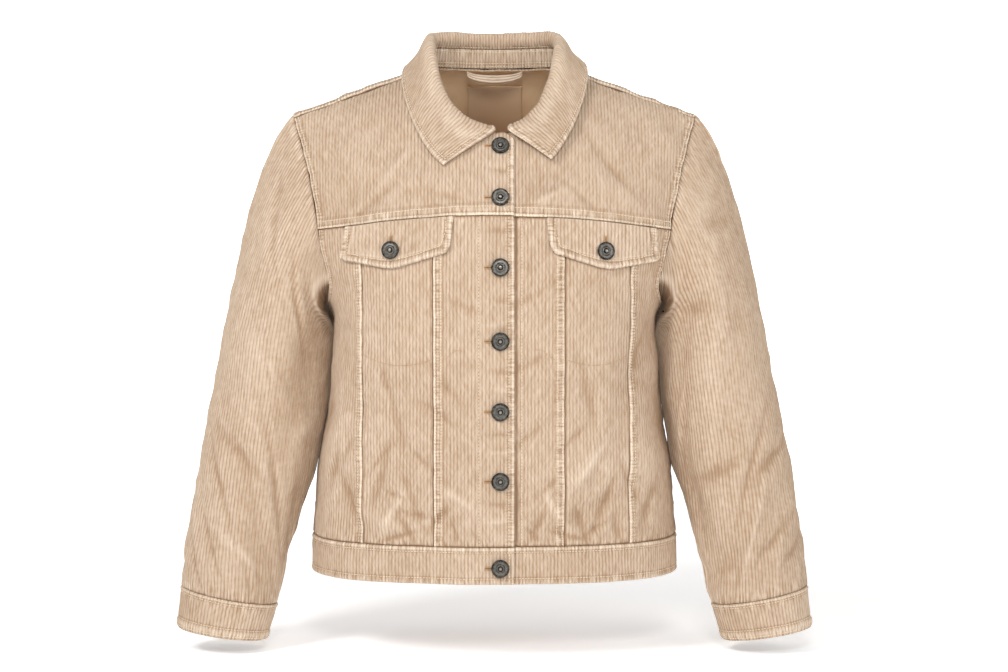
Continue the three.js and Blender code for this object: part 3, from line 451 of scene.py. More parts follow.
# %% [markdown]
# ## The neck and the armholes
# Two closed lines divide the body from the collar and the sleeves. Both are worked out as angles and levels
# on the body, so the pieces on either side of them meet.

# %% The neck and the armholes
def neck_place(turn):
    """The left half of the neck seam, as (angle, level); turn is 0 in front and 180 behind."""
    t = np.radians(turn)
    x = NECK_HALF * np.sin(t)
    behind = np.asarray(turn) > 90
    front = NECK_FRONT * np.abs(np.cos(t)) ** NECK_ROUND["front"]
    back = NECK_BACK * np.abs(np.cos(t)) ** NECK_ROUND["back"]
    level = np.where(behind, back, front)
    angle = front_angle(x, level)
    return np.where(behind, math.pi - angle, angle), level


NECK_TURNS = np.arange(721) / 4
NECK_SHARES = steps_along(body_point(*neck_place(NECK_TURNS)))
NECK_LENGTH = NECK_SHARES[-1]
NECK_SHARES = NECK_SHARES / NECK_LENGTH
NECK_SEAM_TURN = 82.4  # where the shoulder seam meets the neck


def neck_turn(x):
    return np.degrees(np.arcsin(np.clip(np.abs(x) / NECK_HALF, 0, 1)))


ARM_TURNS = np.linspace(0, 2 * math.pi, 721)
LOWEST = 360  # the number of the armhole's lowest point
_forward = ARM_TURNS < math.pi
_cut = np.where(_forward, ARM_CUT["front"], ARM_CUT["back"])
_power = np.where(np.cos(ARM_TURNS) > 0, *ARM_ROUND)
_inward = _cut * np.abs(np.sin(ARM_TURNS)) ** _power
ARM_ANGLES = math.pi / 2 - np.where(_forward, _inward, -_inward)
ARM_LEVELS = ARM_LEVEL * (1 - np.cos(ARM_TURNS)) / 2
_runs = steps_along(body_point(ARM_ANGLES, ARM_LEVELS))
_front = _runs[LOWEST]
ARM_SHARES = np.where(_runs <= _front, _runs / _front, 1 + (_runs - _front) / (_runs[-1] - _front))


def arm_angle(level, behind=False):
    """The armhole's angle at a level, on the left."""
    part = slice(None, LOWEST - 1, -1) if behind else slice(LOWEST + 1)
    return np.interp(level, ARM_LEVELS[part], ARM_ANGLES[part])


print("neck seam", round(2 * NECK_LENGTH), "mm, armhole", round(_runs[-1]), "mm")

# %% [markdown]
# ## Materials
# Corduroy is a cotton cloth with a cut pile in ribs. Its colour is paler on the ridges and darker in the
# valleys and grooves, partly from nap that wears pale and partly as painted shade, so its colour follows the
# flat measure of the cloth, which each piece keeps as its UV map in metres. Two more numbers on each corner
# say how rubbed the cloth is there, with painted shade and painted highlight added in, and how much a seam
# gathers it. Colours are given as they look on a screen. One function, `add`, makes every node.

# %% Helpers for materials
def colour(text):
    """A screen colour, such as d9bf9f, as the linear values that a shader takes."""
    parts = [int(text[i : i + 2], 16) / 255 for i in (0, 2, 4)]
    return [*(c / 12.92 if c <= 0.04045 else ((c + 0.055) / 1.055) ** 2.4 for c in parts), 1]


def new_material(name):
    material = bpy.data.materials.new(name)
    material.use_nodes = True
    return material, material.node_tree, material.node_tree.nodes["Principled BSDF"]


def give(tree, node, inputs):
    """Gives a node's inputs, by number or name, a value or a link. A node stands for its first output."""
    known = dict(enumerate(node.inputs)) | {socket.identifier: socket for socket in node.inputs}
    for key, value in inputs.items():
        socket = known[key] if key in known else node.inputs[key.replace("_", " ")]
        if isinstance(value, bpy.types.Node):
            value = value.outputs[0]
        if isinstance(value, bpy.types.NodeSocket):
            tree.links.new(value, socket)
        else:
            socket.default_value = value


def add(tree, kind, *inputs, **named):
    """Adds a shader node. A name in small letters is a setting of the node, and any other is an input."""
    node = tree.nodes.new(f"ShaderNode{kind}")
    for key, value in named.items():
        if key.islower():
            setattr(node, key, value)
    links = {key: value for key, value in named.items() if not key.islower()}
    give(tree, node, dict(enumerate(inputs)) | links)
    return node


print("beige on a screen, d9bf9f, is", [round(c, 3) for c in colour("d9bf9f")])

# %% Corduroy
def corduroy_material():
    """Cotton corduroy with a worn nap: matt, a little velvety at the rims, and streaked along its ribs; its
    colour also holds painted shade and painted highlight.
    """
    material, tree, shader = new_material("corduroy")
    uv = add(tree, "UVMap", uv_map="cloth")
    worn = add(tree, "Attribute", attribute_name="worn").outputs["Vector"]
    # the first number on each corner: rubbed paler edges, with painted highlight on seam beads and crease
    # ridges, and painted shade in creases, stitch grooves and seam gaps
    wear_and_painted_light, down, over = add(tree, "SeparateXYZ", worn).outputs
    across = add(tree, "Math", add(tree, "SeparateXYZ", uv), 1000 / PITCH, operation="MULTIPLY")
    wave = add(tree, "Math", add(tree, "Math", across, math.pi, operation="MULTIPLY"), operation="SINE")
    rib = add(tree, "Math", add(tree, "Math", wave, operation="ABSOLUTE"), 0.75, operation="POWER")

    def noise(size_across, size_along, detail=2.0, rough=0.55, turn=0.0):
        """Noise from -0.5 to 0.5 with spots of a size in mm."""
        turned = add(tree, "Mapping", uv, Rotation=(0, 0, turn))
        scaled = add(tree, "Mapping", turned, Scale=(1000 / size_across, 1000 / size_along, 1))
        looks = {"Scale": 1.0, "Detail": detail, "Roughness": rough}
        spots = add(tree, "TexNoise", scaled, noise_dimensions="2D", **looks)
        return add(tree, "Math", spots.outputs["Fac"], 0.5, operation="SUBTRACT")

    # strokes of nap along the ribs, crushed patches, and fuzz
    stroke, patch, broad = noise(PITCH * 0.55, 12, 2.0, 0.6), noise(8, 26, 2.0), noise(70, 90, 1.0)
    rubbed, crushed = noise(2.4, 15, 1.5, 0.5, 0.42), noise(2.6, 13, 1.5, 0.5, -0.5)
    fuzz = noise(0.4, 1.1)
    # fine puckers lie across their seam; their height is a bump and is also painted shade in the colour,
    # darker in their hollows
    gathers = [
        add(tree, "Math", noise(*size, 1.5), mask, operation="MULTIPLY")
        for size, mask in (((16, 2.1), down), ((2.1, 16), over))
    ]
    pucker_height_and_shade = add(tree, "Math", *gathers, operation="ADD")
    # the ribs are paler on their tops and darker in their valleys: partly nap, partly painted shade
    share = add(tree, "Math", rib, 0.38, 0.045, operation="MULTIPLY_ADD")
    layers = [(stroke, 0.44), (patch, 0.24), (broad, 0.2), (rubbed, 0.26), (crushed, 0.26)]
    for value, weight in [*layers, (wear_and_painted_light, 0.42), (fuzz, 0.25), (pucker_height_and_shade, 1.3)]:
        share = add(tree, "Math", value, weight, share, operation="MULTIPLY_ADD")
    share = add(tree, "Math", share, 0.0, operation="ADD", use_clamp=True)
    ends = {"A_Color": colour("9c8066"), "B_Color": colour("e3d2be")}
    shade = add(tree, "Mix", share, data_type="RGBA", **ends)
    bump = add(tree, "Bump", Strength=1.0, Distance=0.001, Height=pucker_height_and_shade)
    nap = add(tree, "Bump", Strength=0.35, Distance=0.0002, Height=fuzz, Normal=bump)
    give(tree, shader, {
        "Base Color": shade.outputs[2],
        "Roughness": 0.92,
        "Specular IOR Level": 0.2,
        "Sheen Weight": 0.12,
        "Sheen Roughness": 0.5,
        "Sheen Tint": colour("f0dcc4"),
        "Normal": nap,
    })
    return material

# %% The inside: the cloth's wrong side and the label
def painted_light_inside(tree):
    """Painted light on the inside: paler towards the neck seam, from 0 at 62 mm below it to 1 at 12 mm."""
    height = add(tree, "SeparateXYZ", add(tree, "TexCoord").outputs["Object"]).outputs["Z"]
    return add(tree, "MapRange", height, From_Min=-0.062, From_Max=-0.012)


def woven(tree, threads_across, threads_along):
    """The grain of a flat weave, and the UV map it lies on. Threads are counted per metre."""
    uv = add(tree, "UVMap", uv_map="cloth")
    weave = add(tree, "Mapping", uv, Scale=(threads_across, threads_along, 1))
    return uv, add(tree, "TexNoise", weave, noise_dimensions="2D", Scale=1.0, Detail=2.0).outputs["Fac"]


def wrong_side_material():
    """The back of corduroy is a plain flat weave: matt, deeper in colour, and without a pile."""
    material, tree, shader = new_material("corduroy_wrong_side")
    uv, grain = woven(tree, 1600, 1600)
    patches = add(tree, "TexNoise", uv, noise_dimensions="2D", Scale=30.0, Detail=3.0).outputs["Fac"]
    share = add(tree, "Math", grain, 0.3, operation="MULTIPLY")
    share = add(tree, "Math", patches, 0.5, share, operation="MULTIPLY_ADD")
    # painted light: paler towards the neck seam
    share = add(tree, "Math", painted_light_inside(tree), 0.75, share, operation="MULTIPLY_ADD")
    share = add(tree, "Math", share, 0.3, operation="SUBTRACT", use_clamp=True)
    shade = add(tree, "Mix", share, data_type="RGBA", A_Color=colour("bc936c"), B_Color=colour("ffe0b6"))
    bump = add(tree, "Bump", Strength=0.3, Distance=0.0002, Height=grain)
    looks = {"Base Color": shade.outputs[2], "Roughness": 0.9, "Specular IOR Level": 0.2, "Normal": bump}
    give(tree, shader, looks)
    return material


def label_material():
    """Woven satin: its long smooth threads give it a soft gloss that is stretched one way."""
    material, tree, shader = new_material("label_satin")
    _, grain = woven(tree, 2500, 900)
    share = add(tree, "Math", grain, 0.2, operation="MULTIPLY")
    # painted light: paler towards the neck seam
    share = add(tree, "Math", painted_light_inside(tree), 0.8, share, operation="MULTIPLY_ADD")
    shade = add(tree, "Mix", share, data_type="RGBA", A_Color=colour("a88262"), B_Color=colour("fadab2"))
    give(tree, shader, {"Base Color": shade.outputs[2], "Roughness": 0.42, "Anisotropic": 0.5})
    return material

# %% Thread, buttonholes and metal
def grainy(tree, scale, detail):
    """Fine noise through the body of a piece."""
    place = add(tree, "TexCoord").outputs["Object"]
    return add(tree, "TexNoise", place, Scale=scale, Detail=detail).outputs["Fac"]


def thread_material(name, low, high):
    """Spun cotton thread: paler than the cloth, and a little smoother."""
    material, tree, shader = new_material(name)
    ends = {"A_Color": colour(low), "B_Color": colour(high)}
    shade = add(tree, "Mix", grainy(tree, 900.0, 2.0), data_type="RGBA", **ends)
    give(tree, shader, {"Base Color": shade.outputs[2], "Roughness": 0.7})
    return material


def buttonhole_material():
    """The open slit of a buttonhole: matt, and painted dark as the shade inside the slit."""
    material, tree, shader = new_material("buttonhole_painted_shade")
    give(tree, shader, {"Base Color": colour("7a5a41"), "Roughness": 0.95})
    return material


def gunmetal_material():
    """Pressed brass, plated dark: nearly black in its hollows, and paler on the stud's top, on a ring round
    the stud and on the notches.
    """
    material, tree, shader = new_material("worn_gunmetal")
    worn = grainy(tree, 420.0, 3.0)
    bright = add(tree, "Attribute", attribute_name="bright").outputs["Fac"]
    spots = add(tree, "Math", worn, 0.5, operation="SUBTRACT")
    # how pale the metal is: the bright attribute, with fine spots
    rubbed = add(tree, "Math", spots, 0.7, bright, operation="MULTIPLY_ADD", use_clamp=True)
    shade = add(tree, "Mix", rubbed, data_type="RGBA", A_Color=colour("0c0b0a"), B_Color=colour("a09a91"))
    rough = add(tree, "MapRange", worn, To_Min=0.28, To_Max=0.5)
    give(tree, shader, {"Base Color": shade.outputs[2], "Metallic": 0.75, "Roughness": rough})
    return material


MATERIALS = {
    "corduroy": corduroy_material(),
    "corduroy_wrong_side": wrong_side_material(),
    "thread": thread_material("cotton_thread", "d8c1a2", "efe0ca"),
    "tan_thread": thread_material("tan_thread", "a07e5b", "bf9d77"),
    "buttonhole": buttonhole_material(),
    "gunmetal": gunmetal_material(),
    "label_satin": label_material(),
}
print("materials:", ", ".join(MATERIALS))

# %% [markdown]
# ## Cutting and sewing
# `corded` gives the columns of a piece of corduroy: four to a rib, because a rib is a rounded ridge with a
# narrow valley on either side. `crowded` gives its rows, which stand closer together near a seam, where the
# stitches pull.

# %% Columns and rows
SKIP = 8  # the inner face of a piece has one column for so many of the outer face's


def corded(width):
    """Columns across a piece that cover a width in mm."""
    count = SKIP * math.ceil(width / PITCH * 4 / SKIP)
    k = np.arange(count + 1)
    return (k // 4 + np.array([0, 0.22, 0.5, 0.78])[k % 4]) * PITCH


def crowded(start, stop, step=3.0, fine=1.1, reach=13.0, ends=(True, True)):
    """Rows from start to stop in mm, closer together near the ends that have a seam."""
    way = np.linspace(0, abs(stop - start), 4000)
    near = np.minimum(way if ends[0] else 1e3, (way[-1] - way) if ends[1] else 1e3)
    density = 1 / mix(fine, step, soft(reach * 0.5, reach * 1.4, near))
    count = np.concatenate([[0], np.cumsum((density[1:] + density[:-1]) / 2 * np.diff(way))])
    rows = np.interp(np.linspace(0, count[-1], math.ceil(count[-1]) + 1), count, way)
    return start + math.copysign(1, stop - start) * rows


print("a piece 100 mm wide has", len(corded(100)), "columns")

# %% [markdown]
# Every part of the cloth's relief is a height in millimetres, so the parts add up: the ribs, the crumple of
# washed cloth, the felled seams with their two pulled-down rows of stitches, folded edges and single rows
# of stitches.

# %% The cloth's relief


def ribs(across, along, seed=0):
    """The corduroy's own height: rounded ridges with narrow valleys, pressed unevenly along their length."""
    round_top = np.abs(np.sin(np.pi * across / PITCH)) ** 0.6
    rib = np.round(across / PITCH - 0.5)
    pressed = 1 + 0.3 * uneven(rib * 7.3, along, (1, 11), 11 + seed)
    pressed += 0.22 * uneven(rib * 3.1, along, (1, 4.5), 12 + seed)
    return 0.27 * (2 * round_top - 1) * pressed


def crumple(across, along, seed, much=1.0):
    """The slow unevenness of worn cloth."""
    big = uneven(across + 0.3 * along, along, (47, 63), seed)
    middle = uneven(across - 0.4 * along, along + 0.2 * across, (19, 33), seed + 1)
    ridge = 1 - 2 * np.abs(uneven(across + 0.7 * along, along - 0.5 * across, (23, 41), seed + 3))
    small = uneven(across, along, (8.5, 12), seed + 2)
    return much * (1.1 * big + 1.0 * middle + 0.9 * ridge + 0.3 * small)


def felled(d, along, seed, wide=9.0):
    """A felled seam: a raised band, d mm in from the edge, with two rows of stitches pulled down into it."""
    band = soft(-0.4, 0.6, d) * (1 - 0.3 * soft(1.6, 3.0, d)) * (1 - soft(wide - 1.3, wide + 0.9, d))
    pull = 0.8 + 0.5 * uneven(along, d, (4.7, 90), seed)
    rows = hill(d, 2.9, 0.8) + hill(d, wide - 1.6, 0.9)
    wave = uneven(along, d, (7.4, 34), seed + 1) * np.exp(-((d / 12.5) ** 2))
    return band - 0.5 * rows * pull + 0.6 * wave


def edged(d, wide=1.3, drop=0.75):
    """A folded edge rounds away over its last millimetre."""
    return -drop * (1 - soft(0, wide, d)) ** 1.5


def groove(d, at, along, seed, deep=0.5, wide=0.9):
    """One row of stitches pulled down into the cloth."""
    return -deep * hill(d, at, wide) * (0.85 + 0.4 * uneven(along, d, (4.9, 90), seed))


def closed(height, from_join):
    """A ring's height, eased so that its first and last columns meet."""
    return mix(height[:, :1], height, soft(0, 5, from_join))


def puckers(down_seams=(), across_seams=()):
    """How much the cloth is gathered into fine puckers beside seams that run down it, and across it."""

    def gathered(seams):
        return sum((np.exp(-np.clip(d / 8.5, 0, 9) ** 4) for d in seams), 0.0)

    return np.broadcast_arrays(gathered(down_seams), gathered(across_seams))

# %% [markdown]
# A piece is cut as two flat grids, an outer and an inner one, and bridged round the edge, so it is a closed
# wall of cloth. The grids come from bmesh, flat and in steps of one column and one row, and then every
# corner is laid on its place. A sleeve or a cuff is a ring: its first and last columns fall on each other
# and are merged.

# %% A closed wall of cloth
made = {}
BOTH_FACES = ("corduroy", "corduroy")


def cut_wall(rows, columns, ring):
    """The flat wall, in steps of one column and one row: its outer face at z = 0, its inner one at z = 1."""
    bm = bmesh.new()
    for across, layer in ((columns, 0), (columns // SKIP, 1)):
        for v in bmesh.ops.create_grid(bm, x_segments=across, y_segments=rows, size=1)["verts"]:
            v.co = ((v.co.x + 1) / 2 * columns, (v.co.y + 1) / 2 * rows, layer)
    inward = [f for f in bm.faces if f.calc_center_median().z > 0.5]
    bmesh.ops.reverse_faces(bm, faces=inward)
    for f in inward:
        f.material_index = 1

    def rim(row, layers=(0, 1)):
        """The open edges along a row."""
        return [
            e for e in bm.edges
            if e.is_boundary and all(abs(v.co.y - row) < 0.01 and round(v.co.z) in layers for v in e.verts)
        ]

    for row in (0, rows):
        bmesh.ops.subdivide_edges(bm, edges=rim(row, [1]), cuts=SKIP - 1)
    if ring:
        for row in (0, rows):
            bmesh.ops.bridge_loops(bm, edges=rim(row))
    else:
        bmesh.ops.bridge_loops(bm, edges=[e for e in bm.edges if e.is_boundary])
    return bm


def lay_wall(mesh, outer, inner, flat, worn):
    """Lays each corner of a flat wall on its place. It keeps its flat measure and, outside, its rubbed tone
    with painted shade and painted highlight.
    """
    place = np.empty(len(mesh.vertices) * 3)
    mesh.vertices.foreach_get("co", place)
    column, row, layer = np.rint(place.reshape(-1, 3)).astype(int).T
    c, r = np.clip(column, 0, outer.shape[1] - 1), np.clip(row, 0, outer.shape[0] - 1)
    is_inner = (layer == 1)[:, None]
    mesh.vertices.foreach_set("co", (np.where(is_inner, inner[r, c], outer[r, c]) * MM).ravel())
    corners = np.empty(len(mesh.loops), int)
    mesh.loops.foreach_get("vertex_index", corners)
    mesh.uv_layers.new(name="cloth").data.foreach_set("uv", (flat[r, c][corners] * MM).ravel())
    # the attribute named worn holds the rubbed tone together with painted shade and painted highlight, and
    # the pucker masks
    values = (worn[r, c] * ~is_inner).ravel().astype(np.float32)
    mesh.attributes.new("worn", "FLOAT_VECTOR", "POINT").data.foreach_set("vector", values)


def hang(name, outer, inner, flat, wear_and_painted_light, puckered=(0.0, 0.0), ring=False, slots=None, **kept):
    """Builds a piece of cloth from the outer and inner places of its grid, both [row, column] in mm.

    The piece replaces the solid of its name, and what is kept of it is read again when it is sewn.
    """
    bm = cut_wall(outer.shape[0] - 1, outer.shape[1] - 1, ring)
    mesh = bpy.data.meshes.new(f"{name}_cloth")
    bm.to_mesh(mesh)
    bm.free()
    lay_wall(mesh, outer, inner, flat, np.stack(np.broadcast_arrays(wear_and_painted_light, *puckered), -1))
    bm = bmesh.new()
    bm.from_mesh(mesh)
    bmesh.ops.remove_doubles(bm, verts=bm.verts, dist=2e-5)
    bmesh.ops.dissolve_degenerate(bm, edges=bm.edges, dist=1e-5)
    bmesh.ops.recalc_face_normals(bm, faces=bm.faces)
    for f in bm.faces:
        f.smooth = True
    open_edges = sum(1 for e in bm.edges if not e.is_manifold)
    triangles = sum(len(f.verts) - 2 for f in bm.faces)
    if bm.calc_volume(signed=True) < 0:
        bmesh.ops.reverse_faces(bm, faces=bm.faces)
    bm.to_mesh(mesh)
    bm.free()
    piece = bpy.data.objects.new(f"{name}_cloth", mesh)
    bpy.context.scene.collection.objects.link(piece)
    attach(piece, "root")
    for slot in slots or ("corduroy", "corduroy_wrong_side"):
        mesh.materials.append(MATERIALS[slot])
    made[name] = {"piece": piece, "outer": outer, "flat": flat, **kept}
    print(f"{name}: {triangles} triangles, {open_edges} odd edges")
    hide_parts(name)

# %% Helpers for grids of places
def raised(point, normal, height):
    """Places moved out along their normals."""
    return point + normal * height[..., None]


def face_normals(points):
    """Normals of a grid of points, from its neighbours."""
    across, down = np.gradient(points, axis=1), np.gradient(points, axis=0)
    return unit(np.cross(across, down))


def first_beyond(margin, columns):
    """For each row, how far along the columns the margin first falls below 0."""
    rows = np.arange(margin.shape[0])
    k = np.argmax(margin < 0, axis=1)
    k = np.where((margin < 0).any(axis=1), k, margin.shape[1] - 1)
    k = np.maximum(k, 1)
    a, b = margin[rows, k - 1], margin[rows, k]
    share = np.clip(a / np.maximum(a - b, 1e-9), 0, 1)
    return mix(columns[k - 1], columns[k], share)

# %% [markdown]
# ## The fronts
# Each front has a yoke at the top and three long panels below it, joined by felled seams. A panel is cut
# along lines of equal way round the body, so its ribs stay upright and its seams cut across them a little.
# The creases at the seams and beside the buttons are short folds, listed like the long ones.

# %% Lines and creases of the fronts
def front_way(x, level):
    return FRONT.way(front_angle(x, level), level)


SIDES = [("right", -1, True), ("left", 1, False)]


def front_lines(side):
    """How far out, on a front's own side, its edge, its turned-back strip and its two long seams lie."""
    return {
        "edge": side * CENTRE - LAP,
        "strip": side * CENTRE + STRIP,
        "inner": side * CENTRE * 0.8 + INNER,
        "outer": side * CENTRE * 0.3 + OUTER,
    }


def held_down(from_seam):
    """The waistband holds the cloth flat beside its seam."""
    return mix(0.2, 1, soft(0, 18, from_seam))


FRONT_CREASES = table(
    "x level long wide lean depth",
    (-90, 470, 20, 5, 34, -1.3),
    (-104, 455, 24, 5.5, -28, 1.1),
    (-84, 440, 26, 6, 22, -1.0),
    (-58, 462, 18, 4.6, -36, -1.2),
    (-40, 474, 14, 4.5, 18, -1.3),
    (-36, 440, 20, 5.5, 58, 1.0),
    (-44, 330, 20, 5, 48, -0.9),
    (-30, 244, 18, 5, 66, -0.9),
    (-96, 372, 30, 7, 12, -0.9),
    (-116, 420, 34, 6.5, -16, -1.1),
    (-150, 440, 26, 6, 22, -1.3),
    (-172, 360, 30, 7, -10, -1.2),
    (-120, 128, 30, 5.5, -52, -1.0),
    (-100, 96, 28, 6, -44, 0.8),
    (-44, 134, 18, 5, 70, -0.8),
    (44, 468, 16, 4.6, -26, -1.3),
    (62, 452, 24, 5.6, 34, 1.1),
    (88, 466, 18, 4.6, 20, -1.4),
    (112, 446, 28, 5.6, -22, -1.3),
    (98, 404, 30, 6.5, -34, 1.0),
    (126, 474, 16, 5, 10, -1.2),
    (34, 376, 20, 5.4, -50, -0.9),
    (40, 300, 18, 5, -64, -0.8),
    (34, 236, 16, 5, -58, -0.8),
    (96, 336, 34, 7, 14, -0.8),
    (160, 448, 28, 6, -18, -1.3),
    (174, 372, 30, 7, 12, -1.2),
    (118, 92, 30, 6, 40, -1.0),
    (86, 128, 26, 5.4, 52, -0.8),
    (56, 132, 20, 5, -62, 0.8),
    (-97, 479, 21, 4, -72, -1.6),
    (-80, 457, 17, 3.8, 79, -1.2),
    (-100, 437, 10, 3.4, 68, -1.1),
    (-52, 456, 9, 3.8, -45, -1.0),
    (-18, 480, 9, 3.2, 30, -1.1),
    (-165, 412, 21, 4.4, -14, -1.3),
    (-152, 396, 17, 4, -20, -1.0),
    (-118, 402, 20, 4, -38, -1.0),
    (-70, 404, 18, 4.2, 46, -1.1),
    (-58, 352, 20, 4, 54, -1.0),
    (-110, 322, 22, 4.4, 20, -0.9),
    (7, 108, 12, 3.6, 84, -0.9),
    (5, 168, 13, 3.8, 92, -1.0),
    (8, 238, 12, 3.6, 86, -0.9),
    (4, 262, 13, 3.6, 94, 0.8),
    (6, 310, 12, 3.8, 88, -1.0),
    (9, 328, 11, 3.4, 80, 0.8),
    (5, 374, 13, 3.8, 92, -1.0),
    (8, 392, 12, 3.4, 86, 0.8),
    (6, 446, 13, 3.8, 84, -1.1),
    (3, 462, 12, 3.4, 95, 0.9),
    (74, 478, 18, 4, 76, -1.4),
    (104, 472, 15, 3.8, -60, -1.3),
    (52, 430, 16, 3.8, -48, -1.1),
    (140, 428, 20, 4.2, 28, -1.2),
    (82, 378, 20, 4, -44, -1.0),
    (146, 296, 22, 4.4, -18, -1.0),
    (38, 476, 9, 3.4, 40, -1.2),
)


def under_arm(x, level):
    """Slack cloth stands out at the top of the side seam, under the arm."""
    return 4.5 * hill(level, 241, 14) * soft(150, 168, np.abs(x))


def worn_front(x, level):
    """Creases and crumple of the fronts. All layers of cloth at a place share them."""
    creased = folded(FRONT_CREASES, x, level) * 2.4 + crumple(x, level, 30, 0.85)
    return creased * held_down(WAIST - level) + under_arm(x, level)


def painted_crease_light(x, level):
    """Painted shade, darker in each crease, and painted highlight, paler on each ridge."""
    return 0.55 * folded(FRONT_CREASES, x, level, 0.6) + 0.07 * folded(FRONT_FOLDS, x, level)


def seam_relief(kind, d, run, seed, wide):
    """The height that a seam gives to the cloth beside it, and its tone: rubbed paler with painted highlight
    on its ridges, and painted shade in its grooves and gaps.
    """
    if kind == "felled":
        # the felled bead is paler, partly rubbed nap and partly painted highlight; its stitch groove and the
        # line just beyond the band are painted darker as shade
        wear_and_painted_light = 1.45 * hill(d, 0.8, 1.0) - 0.6 * hill(d, 2.9, 0.8) + 0.12 * soft(wide, wide - 1.5, d)
        return felled(d, run, seed, wide), wear_and_painted_light - 0.5 * hill(d, wide + 0.6, 0.9)
    if kind == "butt":
        wave = 0.5 * uneven(run, d, (7.9, 34), seed + 3) * np.exp(-((d / 11) ** 2))
        # painted shade along the gap between the two panels
        return edged(d, 2.2, 1.0) + wave, -1.2 * hill(d, 0, 1.5)
    # a folded edge, with one row of stitches
    ridge = 0.6 * hill(d, 2.0, 1.5) + groove(d, wide, run, seed, 0.35)
    wave = 0.6 * uneven(run, d, (10.4, 40), seed + 5) * np.exp(-((d / 12) ** 2))
    # a paler edge ridge, partly rubbed and partly painted highlight, and painted shade in the stitch groove
    return ridge + edged(d, 1.8, 1.1) + wave, 1.0 * hill(d, 1.2, 1.4) - 0.6 * hill(d, wide, 0.8)


def sewn_seams(height, wear_and_painted_light, *seams):
    """A height and a rubbed tone with painted shade and highlight, with the relief of seams, each of them
    what seam_relief takes.
    """
    for seam in seams:
        h, w = seam_relief(*seam)
        height, wear_and_painted_light = height + h, wear_and_painted_light + w
    return height, wear_and_painted_light

# %% The long panels
PANELS = (  # name, where it starts and stops, and its seams down the left and the right, each with its width
    ("centre", "edge", "inner", {"left": ("edge", 5.5), "right": ("felled", 9.5)}),
    ("middle", "inner", "outer", {"left": ("butt", 0), "right": ("butt", 0)}),
    ("side", "outer", "side", {"left": ("felled", 5.5), "right": ("felled", 7.5)}),
)


def panel_end(stop, side, level, base):
    """How wide a panel is at each of its levels."""
    if stop != "side":
        return front_way(front_lines(side)[stop], level) - base - SIDE_GAP
    armhole, side_seam = FRONT.way(arm_angle(level), level), FRONT.way(math.pi / 2, level) - SIDE_GAP
    return np.where(level < ARM_LEVEL, armhole, side_seam) - base


def front_panel(name, side, lifted, start, stop, seams, seed):
    top, bottom = FRONT.run(YOKE + SIDE_GAP), FRONT.run(WAIST - SIDE_GAP)
    r = crowded(top, bottom)
    if stop == "side":
        # more rows just above the underarm, where the armhole turns
        above_arm = np.array([-9, -6.4, -4.4, -2.8, -1.5, -0.6, 0])
        r = np.unique(np.concatenate([r, FRONT.run(ARM_LEVEL) + above_arm]))
    level = FRONT.level(r)
    base = front_way(front_lines(side)[start], level) + (0 if start == "edge" else SIDE_GAP)
    end = panel_end(stop, side, level, base)
    columns = corded(end.max())
    s = np.minimum(columns[None, :], end[:, None])
    rr = np.broadcast_to(r[:, None], s.shape)
    lv = FRONT.level(rr)
    point, normal = dressed(side * FRONT.angle(s + base[:, None], rr), lv, lifted)
    slow = worn_front(point[..., 0], lv)
    height = slow + ribs(s, rr, seed)
    # painted shade in the creases and painted highlight on their ridges
    wear_and_painted_light = painted_crease_light(point[..., 0], lv)
    if start == "edge" and side > 0:
        # the left front falls back a little beside the edge that lies over it, and is painted darker there as
        # that edge's shadow
        gape = np.clip(0.75 + 0.75 * uneven(rr, 0 * rr, (27, 50), 27), 0.15, 1.5)
        height -= 1.9 * hill(point[..., 0], CENTRE + LAP + 1.8, 2.6) * gape
        wear_and_painted_light -= 1.5 * hill(point[..., 0], CENTRE + LAP + 1.0, 2.0) * gape
    gaps = {"left": s, "right": end[:, None] - s, "top": rr - top, "bottom": bottom - rr}
    runs = {"left": rr, "right": rr, "top": s, "bottom": s}
    sewn = [(kind, gaps[k], runs[k], seed * 7 + len(k), wide) for k, (kind, wide) in seams.items()]
    height, wear_and_painted_light = sewn_seams(height, wear_and_painted_light, *sewn)
    thick = np.where(s < FACING, DOUBLE, SINGLE) if start == "edge" else SINGLE
    down_seams = [gaps[where] for where in ("left", "right") if seams[where][0] != "butt"]
    puckered = puckers(down_seams, [gaps["top"] + 2, gaps["bottom"] + 2])
    outer, inner = raised(point, normal, height), raised(point, normal, slow - thick)
    flat = np.stack([s + seed * 40, rr], -1)
    hang(name, outer, inner, flat, wear_and_painted_light, puckered, s=columns, r=r, normal=normal, end=end)


def build_front(name, side, lifted):
    for seed, (part, start, stop, seams) in enumerate(PANELS, 1 if side < 0 else 4):
        seams = seams | {"top": ("butt", 0), "bottom": ("butt", 0)}
        front_panel(f"front_{part}_{name}", side, lifted, start, stop, seams, seed)

# %% The yoke


def yoke_top(columns, base_at):
    """The levels of the yoke's upper edge, up the neck seam and along the shoulder seam, by small steps."""
    seam_x = NECK_HALF * math.sin(math.radians(NECK_SEAM_TURN))
    level = np.full(columns.shape, 40.0)
    for _ in range(40):
        q = columns + base_at(level)
        x = np.abs(body_point(FRONT.angle(q, FRONT.run(level)), level)[..., 0])
        found = NECK_FRONT * np.sqrt(np.clip(1 - (x / NECK_HALF) ** 2, 0, 1)) ** NECK_ROUND["front"]
        found = np.where(x > seam_x, SHOULDER_SEAM, np.maximum(found, SHOULDER_SEAM))
        level = mix(level, found, 0.5)
    return level + CORNER * np.clip(1 - columns / FACING / 0.35, 0, 1) ** 2


